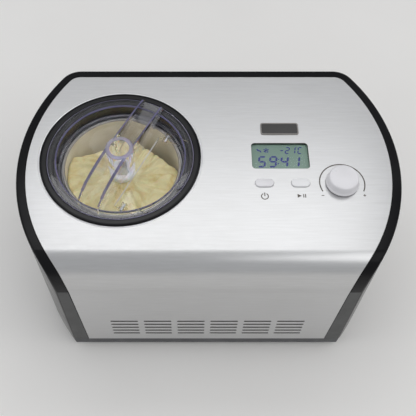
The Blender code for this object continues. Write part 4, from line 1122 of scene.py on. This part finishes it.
def make_display():
    """The display: a grey-green face with dark digits under a clear pane."""
    low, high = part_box("lcd_module")
    outline = round_box(DISPLAY, DISPLAY_SIZE, 3.6 * MM)
    face = plate("display_face", [outline], low.z, high.z, edge=0.2 * MM)
    show(face, LIQUID_CRYSTAL, "root", "silver", "lcd_module")

    def at(x, y):
        return low.x + x * MM, low.y + y * MM

    marks = []
    for character, x in (("5", 5.7), ("9", 18.1), ("4", 30.8), ("1", 43.6)):
        marks += segments(character, at(x, 3.4), (9.1 * MM, 15.4 * MM), 2.2 * MM)
    for height in (7.6, 13.2):
        dot = at(28.4 + SLANT * height, 3.4 + height - 2.4)
        marks.append(rectangle(dot, (1.4 * MM, 1.4 * MM)))
    for character, x in (("-", 31.2), ("2", 37.4), ("1", 44), ("C", 51.6)):
        marks += segments(character, at(x, 21.6), (5.4 * MM, 9.8 * MM), 1.4 * MM)
    marks.append(stroke(at(51.2, 30.8), 0.7 * MM, 0.4 * MM, 20, 340, 12))
    flake = Vector(at(17, 26.6))
    arm = [(0.8, -0.5), (3.4, -0.5), (3.4, 0.5), (0.8, 0.5)]
    for spoke in range(6):
        turn = Matrix.Rotation(pi * spoke / 3 + pi / 6, 2)
        marks.append([flake + turn @ Vector(point) * MM for point in arm])
    x, y = at(6.4, 24.6)
    stirrer = [(-0.6, 4.2), (1, 4), (2, 2.6), (4.4, 2), (5.4, -0.8), (4, -0.8), (3.2, 0.6), (0.8, 1.2)]
    marks.append(fillet([(x + px * MM, y + py * MM) for px, py in stirrer], 0.5 * MM))
    show(plate("display_digits", marks, high.z, high.z + INK), SEGMENT, "root", "display")

    low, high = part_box("display_window")
    outline = round_box(DISPLAY, less(DISPLAY_SIZE, 2 * GAP), 3.7 * MM)
    pane = plate("display_pane", [outline], high.z - 2.2 * MM, high.z, edge=0.3 * MM)
    outline = round_box(DISPLAY, box_size("display_window"), 4 * MM)
    flange = plate("pane_flange", [outline], low.z + 0.3 * MM, TOP - SHEET - GAP)
    boolean(pane, [flange], "UNION")
    show(pane, PANE, "root", "display", "display_window")


def make_nameplate():
    """A blank raised plate with a lighter rim."""
    low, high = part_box("blank_nameplate")
    centre, size = box_centre("blank_nameplate"), box_size("blank_nameplate")
    outer = round_box(centre, size, 2.8 * MM)
    inner = round_box(centre, less(size, 2.8 * MM), 1.8 * MM)
    rim = plate("nameplate_rim", [outer, inner], low.z - 0.2 * MM, high.z, edge=0.3 * MM)
    show(rim, BADGE_RIM, "root", "zinc")
    field = round_box(centre, less(size, 3 * MM), 1.7 * MM)
    face = plate("nameplate_face", [field], low.z - 0.2 * MM, high.z - 0.35 * MM)
    show(face, BADGE, "root", "dark_grey", "blank_nameplate")


def make_buttons():
    for node, body in (("power_button", "power_key"), ("start_button", "start_key")):
        low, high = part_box(node)
        centre = box_centre(node)
        base = TOP - 3.4 * MM
        outline = stadium(centre, less(BUTTON_SIZE, 2 * GAP))
        key = plate(node + "_cap", [outline], base, high.z, edge=0.9 * MM)
        flange = stadium(centre, box_size(node))
        stem = bar(node + "_stem", (*centre, low.z), (*centre, base + 1 * MM), 1.8 * MM)
        boolean(key, [plate(node + "_flange", [flange], base, TOP - SHEET - GAP), stem], "UNION")
        # The start key gets a lighter copy of the key plastic: painted light, since more light falls on it
        # than on the power key.
        show(key, LIT_KEY_PLASTIC if node == "start_button" else SILVER, body, "silver", node)


def make_knob():
    """The turning knob: a tapered cap with a softly dished top on a thin skirt."""
    cap = [(0, 12.0), (13.2, 12.2), (14.9, 12.5), (16.1, 11.2), (17.2, 4), (18.1, 3), (18.1, 0.8), (3, 0.8)]
    knob = turned("knob_cap", above_top([*cap, (3, -7), (0, -7)]), KNOB, 1.1 * MM, FINE)
    show(knob, SILVER, "knob", "silver", "control_knob")


# ---- Back ----


def make_rear_parts():
    """The back cover with its exhaust slots, its cross-head screws and the lead's gland."""
    low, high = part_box("rear_cover")
    outline = round_box(COVER, COVER_SIZE, COVER_CORNER)
    gland = box_centre("cord_gland", 2)
    holes = [circle(screw, 1.9 * MM) for screw in SCREWS]
    holes.append(circle(gland, 6.3 * MM))
    for row in range(6):
        for column in range(3):
            place = (COVER[0] + (column - 1) * 80 * MM, COVER[1] + 50 * MM - row * 11 * MM)
            holes.append(stadium(place, (70 * MM, 3.6 * MM), 8))
    cover = plate("back_cover", [outline, *holes], -high.y, -low.y, UPRIGHT, edge=0.6 * MM, segments=2)
    show(flatten_normals(cover), DARK, "root", "dark_grey", "rear_cover")

    outwards = Matrix.Rotation(-pi / 2, 4, "X")
    for number, (x, z) in enumerate(SCREWS, 1):
        head = [(0, 1.3), (2.2, 1.3), (3.1, 0.7), (3.1, 0)]
        profile = heights(head + [(1.6, 0), (1.6, -9), (0.6, -10), (0, -10)])
        seat = Matrix.Translation((x, BACK - 1.4 * MM, z)) @ outwards
        screw = turned(f"cross_screw_{number}", profile, (0, 0), 0.3 * MM, 32, seat)
        cross = []
        for across, along in ((1.7 * MM, 0.3 * MM), (0.3 * MM, 1.7 * MM)):
            cross.append(block("cross", (-across, -along, 0.3 * MM), (across, along, 2 * MM), seat))
        boolean(screw, cross, "DIFFERENCE")
        show(screw, ZINC, "root", "zinc", f"rear_screw_{number}")

    outer_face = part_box("cord_gland")[1].y
    profile = heights([(8.5, 2.2), (8.5, 0), (6, 0), (6, -9), (3.6, -9), (3.6, 2.5), (7.5, 2.5)])
    seat = Matrix.Translation((gland[0], outer_face - 2.5 * MM, gland[1])) @ outwards
    show(turned("lead_gland", profile, (0, 0), 0.4 * MM, 48, seat), RUBBER, "root", "rubber", "cord_gland")


make_camera()
make_floor()
make_light()
finish_cad_nodes()
make_panel()
make_housing()
make_base()
make_collar()
make_bowl()
make_paddle()
make_ice_cream()
make_lid()
make_hatch()
make_prints()
make_display()
make_nameplate()
make_buttons()
make_knob()
make_rear_parts()
